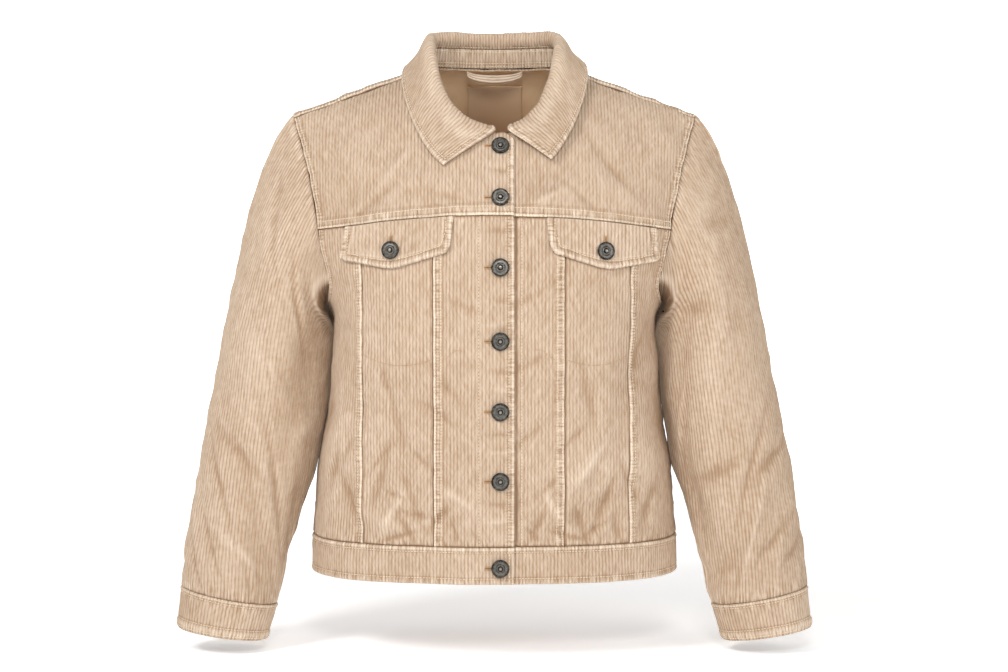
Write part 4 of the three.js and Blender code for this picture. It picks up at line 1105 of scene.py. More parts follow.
def build_yoke(name, side, lifted, seed):
    """The front yoke, whose ribs rise from the seam below it to the neck and the shoulder seam."""
    edge, bottom = front_lines(side)["edge"], FRONT.run(YOKE - GAP)
    base_at = lambda level: front_way(edge, level)
    columns = corded(250)
    top = FRONT.run(yoke_top(columns, base_at))
    v = crowded(0, 145) / 145
    rr = mix(top[None, :], bottom, v[:, None])
    lv = FRONT.level(rr)
    way = FRONT.way(arm_angle(lv), lv)
    end = first_beyond(way - base_at(lv) - columns[None, :], columns)
    s = np.minimum(columns[None, :], end[:, None])
    clipped_top = np.interp(s, columns, top)
    rr = mix(clipped_top, bottom, v[:, None])
    lv = FRONT.level(rr)
    point, normal = dressed(side * FRONT.angle(s + base_at(lv), rr), lv, lifted)
    slow = worn_front(point[..., 0], lv)
    height, wear_and_painted_light = sewn_seams(
        slow + ribs(s, rr, seed), 0,
        ("felled", bottom - rr, s, seed * 5, 10.0),
        ("felled", end[:, None] - s, rr, seed * 5 + 1, 7.5),
        ("butt", rr - clipped_top, s, seed * 5 + 2, 0),
        ("edge", s, rr, seed * 5 + 3, 5.5),
    )
    # painted shade in the creases and painted highlight on their ridges
    wear_and_painted_light = wear_and_painted_light + painted_crease_light(point[..., 0], lv)
    thick = np.where(s < FACING, DOUBLE, SINGLE)
    hang(
        f"front_yoke_{name}", raised(point, normal, height), raised(point, normal, slow - thick),
        np.stack([s + seed * 40, rr], -1), wear_and_painted_light,
        puckers([end[:, None] - s, s + 2], [bottom - rr, rr - clipped_top + 4]),
        s=columns, v=v, normal=normal, end=end, top=top, bottom=bottom,
    )

# %% [markdown]
# ## The back
# The back is one panel, from the neck and the shoulder seams down to the waistband. It is laid out from its
# middle, so its columns run both ways, and it goes over the shoulder to meet the fronts a little in front
# of the ridge.

# %% Creases of the back
BACK_CREASES = table(
    "x level long wide lean depth",
    (-60, 60, 34, 9, 62, -1.2),
    (70, 66, 36, 9, -58, -1.2),
    (-120, 140, 40, 8, -30, -1.4),
    (112, 150, 44, 9, 34, -1.3),
    (-20, 240, 50, 11, 80, 1.2),
    (30, 290, 46, 10, -74, -1.2),
    (-90, 330, 40, 9, 48, -1.5),
    (84, 350, 42, 9, -44, -1.5),
    (-30, 400, 36, 8, -60, -1.3),
    (44, 470, 26, 6, 30, -1.4),
    (-66, 472, 24, 6, -26, -1.4),
    (-130, 462, 28, 6.5, 18, -1.4),
    (122, 470, 26, 6.5, -16, -1.4),
    (150, 300, 50, 9, 8, -1.5),
    (-154, 290, 50, 9, -10, -1.5),
)


def back_top(half):
    """The levels of the back's upper edge, along the neck and then the shoulder seam, by small steps."""
    seam_x = 76.7
    level = np.zeros(half.shape)
    for _ in range(30):
        x = np.abs(body_point(BACK.angle(half, BACK.run(level)), np.maximum(level, 0))[..., 0])
        found = NECK_BACK * np.sqrt(np.clip(1 - (x / NECK_HALF) ** 2, 0, 1)) ** NECK_ROUND["back"]
        level = mix(level, np.where(x > seam_x, 0.0, found), 0.5)
    return np.where(x > seam_x, -SHOULDER_SEAM + GAP, level)


def back_reach(lv):
    """How far from its middle the back reaches: to the armhole, from over the shoulder, or the side seam."""
    over = BACK.way(math.pi - arm_angle(-np.minimum(lv, 0)), lv)
    way = np.where(lv < 0, over, BACK.way(arm_angle(lv, True), lv))
    return np.where(lv > ARM_LEVEL, BACK.way(math.pi / 2, lv) - SIDE_GAP, way)


def build_back():
    half = corded(238)
    columns = np.concatenate([-half[:0:-1], half])
    top = BACK.run(back_top(half))
    top = np.concatenate([top[:0:-1], top])
    bottom = BACK.run(WAIST - SIDE_GAP)
    v = crowded(0, 500, 5.4, 1.6) / 500
    runs_at = lambda s: mix(np.interp(s, columns, top), bottom, v[:, None])
    lv = BACK.level(runs_at(np.broadcast_to(half[None, :], (len(v), len(half)))))
    end = first_beyond(back_reach(lv) - half[None, :], half)
    s = np.clip(columns[None, :], -end[:, None], end[:, None])
    rr = runs_at(s)
    lv = BACK.level(rr)
    point, normal = dressed(BACK.angle(s, rr), lv, False)
    x = point[..., 0]
    slow = (crumple(x, lv, 80) + folded(BACK_CREASES, x, lv) * 2.0) * held_down(WAIST - lv) + under_arm(x, lv)
    from_side, from_bottom, from_top = end[:, None] - np.abs(s), bottom - rr, rr - np.interp(s, columns, top)
    h1, w1 = seam_relief("felled", from_side, rr, 91, 7.5)
    h2, w2 = seam_relief("butt", from_side, rr, 92, 0)
    h3, w3 = seam_relief("butt", from_bottom, s, 93, 0)
    h4, w4 = seam_relief("felled", from_top, s, 94, 8.0)
    # felled along the armhole and the shoulder, and butted at the side and at the neck
    below_arm, shoulder = soft(200, 250, lv), soft(78, 84, np.abs(s))
    height = ribs(s, rr, 3) + slow + (mix(h1, h2, below_arm) + h3 + h4 * shoulder)
    # the seams' tone, and painted shade and painted highlight along the back's creases
    wear_and_painted_light = mix(w1, w2, below_arm) + w3 + w4 * shoulder + 0.22 * folded(BACK_CREASES, x, lv, 0.6)
    hang(
        "back", raised(point, normal, height), raised(point, normal, slow - SINGLE), np.stack([s, rr], -1),
        wear_and_painted_light, puckers([from_side], [from_bottom + 2, from_top]), s=columns, v=v, normal=normal, end=end,
    )

# %% [markdown]
# ## The waistband
# The waistband is one doubled strip round the waist. It starts at the right front's edge, runs round behind
# and ends under its own start, so its way round is measured along the strip.

# %% Waistband
def build_waistband():
    left, right = front_lines(1), front_lines(-1)
    proud = 0.9
    start = float(front_angle(-right["edge"], WAIST))
    stop = float(front_angle(left["edge"], WAIST)) - 2 * math.pi
    turns = np.linspace(start, stop, 3000)

    def place(turns, level):
        lifted = (turns > -math.pi / 2).astype(float)
        return dressed(np.where(turns < -math.pi, turns + 2 * math.pi, turns), level, lifted, proud)

    ways = steps_along(place(turns, (WAIST + HEM) / 2)[0])
    columns = corded(ways[-1])
    s = np.minimum(columns, ways[-1])
    levels = crowded(WAIST + GAP * 0.2, HEM, 2.6, 1.0, 7)
    ss, lv = np.broadcast_arrays(s[None, :], levels[:, None])
    point, normal = place(np.interp(ss, ways, turns), lv)
    top, low = lv - WAIST, HEM - lv
    slow = (0.6 * crumple(ss, lv, 60) + 0.5 * uneven(ss, lv, (11, 30), 61)) * mix(0.2, 1, soft(0, 12, top))
    height = ribs(ss, lv, 5) + slow
    height += 0.7 * hill(top, 2.2, 1.7) + groove(top, 5.0, ss, 62, 0.4) + edged(top, 1.4, 0.9)
    height += 0.25 * hill(low, 2.6, 1.6) + groove(low, 6.2, ss, 63, 0.5) + edged(low, 2.2, 1.1)
    height += groove(ss, 5.0, lv, 64, 0.4) + edged(ss, 1.8, 1.0) + groove(ways[-1] - ss, 5.0, lv, 65, 0.4)
    # paler ridges along the top, the hem and the end, partly rubbed and partly painted highlight, and painted
    # shade in the stitch grooves
    wear_and_painted_light = 0.8 * hill(top, 1.8, 1.2) + 0.6 * hill(low, 0.8, 1.2) - 0.6 * hill(top, 5, 0.9)
    wear_and_painted_light = wear_and_painted_light - 0.6 * hill(low, 6.2, 0.9) + 0.6 * hill(ss, 1.2, 1.2)
    hang(
        "waistband", raised(point, normal, height), raised(point, normal, slow - DOUBLE),
        np.stack([ss, lv], -1), wear_and_painted_light, puckers([], [top, low]), slots=BOTH_FACES,
        s=columns, r=levels, normal=normal,
    )

# %% [markdown]
# ## Sleeves and cuffs
# A sleeve leaves the armhole along curves that `CAP_LEAVES` sets, joins an oval tube that `SLEEVE`
# describes, and ends in its cuff. It is one piece of cloth, closed by a seam under the arm. Its ribs run
# straight down the tube, so on the cap they are laid out by how far they lie from its top line, as on the
# flat pattern.

# %% The form of a sleeve
ARM_RADIUS = 57.5  # of the round arm that spreads the ribs over the cap


def arm_edge(side):
    """Round the armhole: the places of the body's cut edge, and the way out of the body at each."""
    angles, levels = ARM_ANGLES * side, ARM_LEVELS
    flat = body_point(angles, levels)[:-1]
    along = unit(np.roll(flat, -8, 0) - np.roll(flat, 8, 0))
    away = unit(np.cross(along, body_normal(angles[:-1], levels[:-1])))
    middle = np.array([side * 190.0, 0, -150])
    wrong = np.sum(away * (middle - flat), -1) < 0
    away = np.where(wrong[:, None], -away, away)
    seated, _ = dressed(angles, levels, side < 0)
    return seated, np.concatenate([away, away[:1]])


def at_share(values, share):
    """Values round the armhole, read at shares of the way round."""
    return np.stack([np.interp(share, ARM_SHARES, values[:, k]) for k in range(3)], -1)


def section(share, side):
    at = lambda column: read(SLEEVE, share, column)
    return at("out"), at("y"), at("z"), at("half"), at("deep"), np.radians(at("lean")), side


def section_point(frame, turn, height=0.0):
    out, y, z, half, deep, lean, side = frame
    angle = np.asarray(turn) * math.pi
    a, b = (half + height) * np.cos(angle), (deep + height) * np.sin(angle)
    return np.stack(np.broadcast_arrays(side * (out + a * np.cos(lean)), y - b, z + a * np.sin(lean)), -1)


def sleeve_point(edge, turn, down, side):
    """The sleeve's smooth outer face: down is 0 at the armhole, 1 at the upper arm and 2 at the cuff."""
    turn, down = np.broadcast_arrays(np.asarray(turn, float), np.asarray(down, float))
    whole = np.mod(turn, 2)
    start = at_share(edge[0], whole) + unit(at_share(edge[1], whole)) * ARM_GAP
    lean = math.radians(12)
    end = section_point(section(0.0, side), whole)
    out, forward, down_by = (read(CAP_LEAVES, whole, column) for column in ("out", "forward", "down"))
    leave = np.stack([side * out, -forward, -down_by], -1)
    reach = mix(150, 60, (1 - np.cos(whole * math.pi)) / 2)
    arrive = np.array([side * math.sin(lean), 0, -math.cos(lean)]) * reach[..., None]
    d = np.clip(down, 0, 1)[..., None]
    a, b = d * d, d * d * d
    cap = start * (2 * b - 3 * a + 1) + leave * (b - 2 * a + d) + end * (3 * a - 2 * b) + arrive * (b - a)
    arm = section_point(section(np.clip(down - 1, 0, 1), side), whole)
    return np.where((down >= 1)[..., None], arm, cap)

# %% Creases of the sleeves
SLEEVE_CREASES = {
    -1: table(
        "turn down long wide lean depth",
        (0.3, 60, 30, 7, 40, -1.0),
        (0.62, 70, 34, 6, 30, -1.4),
        (0.78, 160, 30, 6, -24, 1.2),
        (0.66, 250, 34, 7, 40, -1.6),
        (0.4, 280, 30, 7, -62, -1.3),
        (0.3, 330, 34, 7, 58, -1.5),
        (0.52, 352, 26, 6, -54, 1.4),
        (0.7, 372, 26, 5.5, 46, -1.6),
        (0.36, 392, 28, 6, 66, -1.4),
        (0.56, 420, 24, 5.5, -40, -1.5),
        (0.24, 436, 24, 5.5, 60, -1.2),
        (0.46, 462, 20, 5, 30, 1.2),
        (0.64, 480, 18, 5, -34, -1.6),
        (0.3, 488, 16, 4.6, 24, -1.4),
        (0.1, 470, 22, 5.5, -50, -1.2),
        (1.2, 300, 40, 8, 50, -1.8),
        (1.5, 340, 36, 8, -52, -1.6),
        (1.66, 400, 34, 7, 56, -1.6),
        (1.34, 440, 30, 7, -40, -1.5),
        (1.6, 180, 44, 9, 24, -1.4),
    ),
    1: table(
        "turn down long wide lean depth",
        (0.28, 66, 32, 7, -38, -1.0),
        (0.6, 78, 32, 6, -34, -1.4),
        (0.8, 150, 34, 6, 26, 1.2),
        (0.62, 244, 32, 7, -44, -1.6),
        (0.42, 292, 28, 7, 58, -1.4),
        (0.28, 318, 30, 7, -60, -1.4),
        (0.5, 344, 28, 6, 50, 1.4),
        (0.72, 366, 28, 5.5, -50, -1.6),
        (0.34, 384, 30, 6, -62, -1.5),
        (0.58, 410, 22, 5.5, 44, -1.4),
        (0.22, 428, 26, 5.5, -58, -1.2),
        (0.44, 452, 20, 5, -28, 1.2),
        (0.62, 474, 20, 5, 36, -1.6),
        (0.34, 486, 16, 4.6, -22, -1.4),
        (0.1, 462, 22, 5.5, 48, -1.2),
        (1.22, 310, 40, 8, -48, -1.8),
        (1.52, 332, 36, 8, 50, -1.6),
        (1.64, 410, 34, 7, -54, -1.6),
        (1.36, 450, 30, 7, 42, -1.5),
        (1.6, 190, 44, 9, -22, -1.4),
    ),
}

# %% The sleeves
GIRTH = 340  # about a sleeve's own, which turns a share of the way round into mm
ARM_LONG = 272  # from the upper arm to the cuff


def ribs_over_cap(edge, downs, half_turns, columns, side):
    """Where a sleeve's ribs lie: the turn of each column, and the runs and the widths of both halves."""
    turn = np.zeros((len(downs), 2 * len(columns) - 1))
    top_line = sleeve_point(edge, np.zeros_like(downs), downs, side)
    runs, ends = {}, {}
    for way in (1, -1):
        ring = sleeve_point(edge, way * half_turns[None, :], downs[:, None], side)
        runs[way] = steps_along(np.swapaxes(ring, 0, 1)).T
        chord = np.min(length(ring[:, :, None] - top_line[None, None, :, :]), axis=2)
        bent = 2 * ARM_RADIUS * np.arcsin(np.clip(chord / (2 * ARM_RADIUS), 0, 1))
        bent = np.maximum.accumulate(bent + half_turns * 0.5, axis=1)
        across = mix(bent, steps_along(ring), soft(0.35, 1.0, downs)[:, None])
        ends[way] = across[:, -1:]
        for i in range(len(downs)):
            found = np.interp(columns, across[i], half_turns)
            if way > 0:
                turn[i, len(columns) - 1 :] = found
            else:
                turn[i, : len(columns)] = -found[::-1]
    return turn, runs, ends


def sleeve_relief(side, left_over, run, from_end, from_join, s, downs):
    """The slow height, the whole height, the rubbed tone with painted shade and painted highlight of a
    sleeve, and its long folds.
    """
    folds, creases = dict(SLEEVE_FOLDS[side]), dict(SLEEVE_CREASES[side])
    for rows in (folds, creases):
        rows["turn"] = rows["turn"] * GIRTH / 2
    fade = soft(0, 26, run) * soft(2, 1.9, downs)[:, None]
    big = folded(folds, left_over, run) * fade
    slow = crumple(left_over, run, 100 + 5 * side) * soft(0, 30, run) * (0.8 + 0.5 * soft(250, 420, run))
    slow += folded(creases, left_over, run) * soft(4, 40, run) * 1.9
    slow *= soft(0, 14, from_end) * 0.8 + 0.2
    height = ribs(s, run, 7 + side) + slow
    height += 0.7 * uneven(left_over, run, (8, 26), 110 + side) * np.exp(-(from_end / 16) ** 2)
    gathered = 0.35 * uneven(left_over, run, (7, 30), 112 + side) * np.exp(-((run / 11) ** 2))
    height += edged(run, 2.2, 0.8) + gathered
    height += edged(from_end, 1.6, 0.5)
    height = closed(height - slow, from_join) + slow
    height = height + 0.5 * hill(from_join, 4.6, 2.6) - 0.7 * hill(from_join, 0, 1.2)
    # painted shade along the armhole seam, at the cuff and along the seam under the arm; a paler bead beside
    # that seam, partly rubbed and partly painted highlight; and painted shade and highlight on the creases
    wear_and_painted_light = -0.5 * hill(run, 0, 1.6) - 0.4 * hill(from_end, 0, 1.6)
    wear_and_painted_light = wear_and_painted_light + 0.9 * hill(from_join, 4.2, 2.2) - hill(from_join, 0, 1.2)
    return slow, height, wear_and_painted_light + (0.4 * folded(creases, left_over, run, 0.65) * fade + 0.05 * big), big


def build_sleeve(name, side):
    edge = arm_edge(side)
    first = [0, 0.004, 0.009, 0.015, 0.022, 0.03, 0.039, 0.049]
    cap_rows = np.concatenate([first, np.linspace(0.06, 1, 56, endpoint=False)])
    downs = np.concatenate([cap_rows, 1 + crowded(0, ARM_LONG, 4.2, 1.3, 10, (False, True)) / ARM_LONG])
    half_turns, half = np.linspace(0, 1, 181), corded(205)
    columns = np.concatenate([-half[:0:-1], half])
    turn, runs, ends = ribs_over_cap(edge, downs, half_turns, half, side)
    form = lambda turn, down: sleeve_point(edge, turn, down, side)
    # normals and the way down, read on the smooth form
    step_down, step_round = 0.004, 0.03
    below = form(turn, np.minimum(downs[:, None] + step_down, 2))
    above = form(turn, np.maximum(downs[:, None] - step_down, 0))
    ahead, behind = (form(turn + by, downs[:, None]) for by in (step_round, -step_round))
    normal = unit(np.cross(ahead - behind, below - above)) * side
    left_run, right_run = (
        np.array([np.interp(np.abs(t), half_turns, row) for t, row in zip(turn, runs[way])])
        for way in (-1, 1)
    )
    run = np.where(turn < 0, left_run, right_run)
    whole = np.mod(turn, 2)
    s = np.clip(columns[None, :], -ends[-1], ends[1])
    from_end, from_join = run[-1][None, :] - run, np.minimum(s + ends[-1], ends[1] - s)
    slow, height, wear_and_painted_light, big = sleeve_relief(side, whole * GIRTH / 2, run, from_end, from_join, s, downs)
    point = form(turn, downs[:, None]) + normal * big[..., None]
    inner = raised(point, normal, slow - SINGLE)
    # the inner face keeps its gap to the body's edge, too
    start, away = at_share(edge[0], whole[0]), unit(at_share(edge[1], whole[0]))
    short = ARM_GAP - np.sum((inner[0] - start) * away, -1)
    inner[0] += away * np.maximum(short, 0)[:, None]
    hang(
        f"sleeve_{name}", raised(point, normal, height), inner, np.stack([s + 300 * side, run], -1),
        wear_and_painted_light, puckers([], [run, from_end]), ring=True,
    )

# %% The cuffs
def build_cuff(name, side):
    out, y, z, half, deep, lean, _ = section(1.0, side)
    shift = GAP * 1.5
    top = (out + math.sin(lean) * shift, y, z - math.cos(lean) * shift, half, deep, lean, side)
    low = (*(CUFF[key] for key in ("out", "y", "z", "half", "deep")), math.radians(CUFF["lean"]), side)
    turns = np.linspace(0, 2, 721)
    ring = mix(section_point(top, turns, CUFF_PROUD), section_point(low, turns, CUFF_PROUD), 0.5)
    ways = steps_along(ring)
    columns = corded(ways[-1])
    s = np.minimum(columns, ways[-1])
    turn = np.interp(s, ways, turns)
    tall = 41.0
    rows = crowded(0, tall, 2.4, 1.0, 8)

    def at(height):
        a, b = section_point(top, turn, height), section_point(low, turn, height)
        return mix(a[None], b[None], (rows / tall)[:, None, None])

    point = at(CUFF_PROUD)
    normal = unit(at(CUFF_PROUD + 1) - point)
    ss, rr = np.broadcast_arrays(s[None, :], rows[:, None])
    wrap = soft(0, 8, ss) * soft(ways[-1], ways[-1] - 8, ss)
    height = ribs(ss, rr, 20 + side) + 0.5 * crumple(ss, rr, 120 + side) * wrap
    height += 0.5 * hill(rr, 1.8, 1.6) + groove(rr, 4.6, ss, 121 + side, 0.45) + edged(rr, 1.3, 0.9)
    # the hem of the cuff is folded up and sewn with two rows
    low_edge = tall - rr
    hem_wave = 0.35 * uneven(ss, rr, (6, 30), 122 + side) * soft(12, 9, low_edge) * wrap
    height += 0.8 * soft(11.5, 9, low_edge) * soft(0, 4, low_edge) + hem_wave
    hem_rows = groove(low_edge, 11, ss, 123 + side, 0.5, 1.2) + groove(low_edge, 3.2, ss, 124 + side, 0.4)
    height += hem_rows + edged(low_edge, 2.4, 1.2)
    height = closed(height, np.minimum(ss, ways[-1] - ss))
    # paler ridges at the top and in the hem band, partly rubbed and partly painted highlight, and painted
    # shade in the stitch grooves
    wear_and_painted_light = 0.6 * hill(rr, 1.5, 1.3) - 0.6 * hill(rr, 4.6, 0.9)
    wear_and_painted_light = wear_and_painted_light + 0.5 * hill(low_edge, 6, 3) - 0.7 * hill(low_edge, 11, 1.2)
    hang(
        f"cuff_{name}", raised(point, normal, height), at(CUFF_PROUD - DOUBLE),
        np.stack([ss + 200 + 300 * side, rr], -1), wear_and_painted_light, puckers([], [rr, low_edge]), ring=True,
        slots=BOTH_FACES, s=columns, r=rows, normal=normal,
    )

# %% [markdown]
# ## The collar
# The collar has two doubled pieces: a stand that rises from the neck seam, and a leaf that rolls over the
# stand's top and lies down over the yokes. Both are laid out along the neck seam. At each place the leaf's
# line runs smoothly through six points, from the top of the stand over the roll to its edge.

# %% The lines of the collar
def front_y(x, z):
    """How far forward the body's front lies, at x and z."""
    level_for = lambda ridge: np.maximum((ridge - z) / (1 + ridge / ARM_LEVEL), 0)
    level = level_for(ridge_height(x, level_for(ridge_height(x, 0))))
    return body_point(front_angle(x, level), level)[..., 1]


def collar_lines(share, side):
    """The middle of the collar's cloth, place by place along the neck: up the stand, over the roll, down."""

    def place_at(at):
        at = np.minimum(at, 1)
        angle, level = neck_place(np.sign(at) * np.interp(np.abs(at), NECK_SHARES, NECK_TURNS))
        return angle * side, level

    seam, _ = dressed(*place_at(share), side < 0)
    along = body_point(*place_at(share + 0.05)) - body_point(*place_at(share - 0.05))
    outward = unit(np.stack([along[:, 1], -along[:, 0], 0 * share], -1))
    wrong = outward[:, 0] * seam[:, 0] + outward[:, 1] * (seam[:, 1] + 8) < 0
    outward = np.where(wrong[:, None], -outward, outward)
    at = lambda column: read(COLLAR, share, column)
    up = np.array([0, 0, 1.0])
    roll, stand, rise, lean = at("roll"), at("stand"), at("rise"), at("lean")
    foot = seam + up * 1.4
    stand_top = seam + outward * (-lean * stand / rise)[:, None] + up * stand[:, None]
    top = seam - outward * lean[:, None] + up * (rise + roll)[:, None]
    level, x = at("level"), side * at("x")
    ahead = front_angle(x, np.abs(level))
    angle = np.where(level < 0, side * math.pi - ahead, ahead)
    whole = 2 * math.pi
    angle = np.where(angle > math.pi, angle - whole, np.where(angle < -math.pi, angle + whole, angle))
    edge, _ = dressed(angle, np.abs(level), True, at("clear"))
    inside = top - outward * (0.8 * roll)[:, None]
    inside[:, 2] = mix(stand_top[:, 2], top[:, 2], 0.55)
    outside = top + outward * (1.3 * roll)[:, None]
    outside[:, 2] -= roll
    belly = mix(outside, edge, 0.5) + outward * mix(3, -2, soft(0.3, 0.54, share))[:, None]
    knots = [stand_top, inside, top, outside, belly, edge]
    return {"foot": foot, "stand_top": stand_top, "knots": knots, "outward": outward}


def smooth_through(knots, places):
    """A smooth curve through the knots (a centripetal Catmull-Rom spline), as points [place, column]."""
    knots = [2 * knots[0] - knots[1], *knots, 2 * knots[-1] - knots[-2]]
    rows = []
    for place in places:
        i = min(int(place * 5), 4)
        t = place * 5 - i
        p = knots[i : i + 4]
        d0, d1, d2 = (np.maximum(length(p[k + 1] - p[k]), 1e-4) ** 0.5 for k in range(3))
        d0, d1, d2 = d0[:, None], d1[:, None], d2[:, None]
        a = ((p[1] - p[0]) / d0 - (p[2] - p[0]) / (d0 + d1) + (p[2] - p[1]) / d1) * d1
        b = ((p[2] - p[1]) / d1 - (p[3] - p[1]) / (d1 + d2) + (p[3] - p[2]) / d2) * d1
        bend, turn = 3 * (p[2] - p[1]) - 2 * a - b, 2 * (p[1] - p[2]) + a + b
        rows.append(p[1] + t * a + t * t * bend + t**3 * turn)
    return np.array(rows)

# %% The collar stand and leaf
COLLAR_ENDS = {-1: -5.3, 1: 7.7}  # how far from the buttons the collar starts, on either side


def collar_at(u):
    """The collar's lines from its right end, u = 0, round behind, u = 1, to its left end, u = 2."""
    share_at = lambda x: float(np.interp(neck_turn(x), NECK_TURNS, NECK_SHARES))
    start = np.where(u < 1, -share_at(CENTRE + COLLAR_ENDS[-1]), share_at(CENTRE + COLLAR_ENDS[1]))
    share = mix(start, 1, np.where(u < 1, u, 2 - u))
    right, left = collar_lines(share, -1), collar_lines(share, 1)
    pick = lambda a, b: np.where((u < 1)[:, None], a, b)
    lines = {key: pick(right[key], left[key]) for key in ("foot", "stand_top", "outward")}
    lines["knots"] = [pick(a, b) for a, b in zip(right["knots"], left["knots"])]
    return lines, share


def build_stand(s, columns, lines):
    tall = 21.0
    rows = crowded(0, tall, 2.2, 0.9, 5)
    top = lines["stand_top"] - np.array([0, 0, 1.5 * GAP])
    point = mix(lines["foot"][None], top[None], (rows / tall)[:, None, None])
    inward = -lines["outward"][None] * np.ones_like(point)
    ss, rr = np.broadcast_arrays(s[None, :], rows[:, None])
    tall_here = np.maximum(length(top - lines["foot"]), 2)[None, :]
    grown = soft(3, 12, tall_here)
    height = ribs(ss, rr, 30) * mix(0.4, 1, grown) + 0.5 * uneven(ss, rr, (5.5, 26), 130) * grown
    low_rows = groove(rr, 2.2, ss, 131, 0.4) + groove(rr, 5.6, ss, 132, 0.4)
    height += (low_rows + groove(tall - rr, 2.6, ss, 133, 0.4)) * grown
    # a paler top edge, partly rubbed and partly painted highlight, and painted shade in the two low stitch
    # grooves
    wear_and_painted_light = (0.4 * hill(tall - rr, 1.0, 1.2) - 0.5 * hill(rr, 2.2, 0.9) - 0.5 * hill(rr, 5.6, 0.9)) * grown
    hang(
        "collar_stand", raised(point, inward, DOUBLE / 2 + height * 0.8), point - inward * DOUBLE / 2,
        np.stack([ss, rr / tall * tall_here + 900], -1), wear_and_painted_light, puckers([], [rr, tall - rr]),
        slots=BOTH_FACES, s=columns, r=rows, normal=inward,
    )


def lay_down(net, places, share):
    """Keeps the leaf clear of the fronts, but near the ends of the collar, where it lies close, by more."""
    near = 1 - soft(20, 46, np.abs(net[..., 0] - CENTRE))
    need = mix(2.6, 8.6, near) * (1 - soft(0.26, 0.42, share))
    clear = np.minimum(net[..., 1], front_y(net[..., 0], net[..., 2]) - need)
    held = (places[:, None] > 0.5) & (need > 0) & (net[..., 1] < -20)
    net[..., 1] = mix(net[..., 1], clear, held * soft(0.5, 0.62, places)[:, None])


def build_leaf(s, columns, lines, share):
    """The leaf, from the stand over the roll to its edge."""
    dense = np.linspace(0, 1, 300)
    curve = smooth_through(lines["knots"], dense)
    run = steps_along(curve[:, np.argmin(np.abs(share - 0.9))])
    rows = crowded(0, run[-1], 1.9, 0.9, 9)
    places = np.interp(rows, run, dense)
    net = smooth_through(lines["knots"], places)
    lay_down(net, places, share[None, :])
    turn_in = soft(6, 0, rows)[:, None, None]
    normal = unit(mix(face_normals(net), -lines["outward"][None], turn_in))
    way = steps_along(np.swapaxes(net, 0, 1)).T
    ss = np.broadcast_to(s[None, :], way.shape)
    edge_gap = way[-1][None, :] - way
    side_gap = np.broadcast_to(np.minimum(s, s[-1] - s)[None, :], way.shape)
    height = ribs(ss, way, 33)
    height += 0.55 * crumple(ss, way, 140) * soft(2, 14, edge_gap) + 0.35 * uneven(ss, way, (13, 9), 142)
    height += 0.6 * hill(edge_gap, 2.6, 1.9) + groove(edge_gap, 6.0, ss, 143, 0.5) + edged(edge_gap, 2.2, 1.3)
    height += (
        0.5 * hill(side_gap, 2.6, 1.9) + groove(side_gap, 6.0, way, 144, 0.45) + edged(side_gap, 2.2, 1.2)
    )
    height += groove(way, 2.0, ss, 145, 0.5) + edged(way, 1.3, 0.6)
    # paler edges, partly rubbed and partly painted highlight, painted shade in the stitch grooves, a paler
    # band along the roll, and the whole leaf painted a little darker as shade
    wear_and_painted_light = 0.7 * hill(edge_gap, 1.6, 1.7) + 0.5 * hill(side_gap, 1.6, 1.7)
    wear_and_painted_light = wear_and_painted_light - 0.7 * hill(edge_gap, 6, 0.9) - 0.1
    wear_and_painted_light += 0.4 * hill(way, 24, 9) - 0.6 * hill(way, 2, 1) - 0.5 * hill(side_gap, 6, 0.9)
    hang(
        "collar_leaf", raised(net, normal, DOUBLE / 2 + height), net - normal * DOUBLE / 2,
        np.stack([ss, way + 1000], -1), wear_and_painted_light, puckers([side_gap], [edge_gap, way + 3]),
        slots=BOTH_FACES, s=columns, r=rows, normal=normal, way=way,
    )


def build_collar():
    u = np.linspace(0, 2, 400)
    coarse, _ = collar_at(u)
    ways = steps_along(mix(coarse["stand_top"], coarse["knots"][4], 0.6))
    columns = corded(ways[-1])
    s = np.minimum(columns, ways[-1])
    lines, share = collar_at(np.interp(s, ways, u))
    build_stand(s, columns, lines)
    build_leaf(s, columns, lines, share)

# %% [markdown]
# ## Pocket flaps
# A flap hangs from the yoke seam and ends in a blunt point. `FLAP` gives its outline, in mm out from the
# buttons and down from the yoke seam. Its grid is squeezed into that outline, so its edges fall on rows and
# columns.

# %% Pocket flaps
FLAP = {
    "top": 1.2, "near_top": 46.5, "near": 50.5, "near_drop": 36,
    "peak": 109, "drop": 52.5, "far_top": 157, "far": 161, "far_drop": 38,
}
FLAP_LIFT = 0.9


def flap_edge(x):
    """How far down the flap reaches at x."""
    near = mix(FLAP["near_drop"], FLAP["drop"], (x - FLAP["near"]) / (FLAP["peak"] - FLAP["near"]))
    far = mix(FLAP["drop"], FLAP["far_drop"], (x - FLAP["peak"]) / (FLAP["far"] - FLAP["peak"]))
    tip = 1.3 * np.exp(-(((x - FLAP["peak"]) / 6) ** 2))
    round_off = lambda d: 6.5 * (1 - np.sqrt(1 - np.clip(1 - d / 6.5, 0, 1) ** 2))
    drop = np.where(x < FLAP["peak"], near, far)
    return drop - tip - round_off(x - FLAP["near"]) - round_off(FLAP["far"] - x)


def flap_side(which, drop):
    """How far out the flap's near or far side lies, at a drop below the yoke seam."""
    top, low = FLAP[f"{which}_top"], FLAP[f"{which}_drop"]
    return mix(top, FLAP[which], np.clip((drop - FLAP["top"]) / (low - FLAP["top"]), 0, 1))


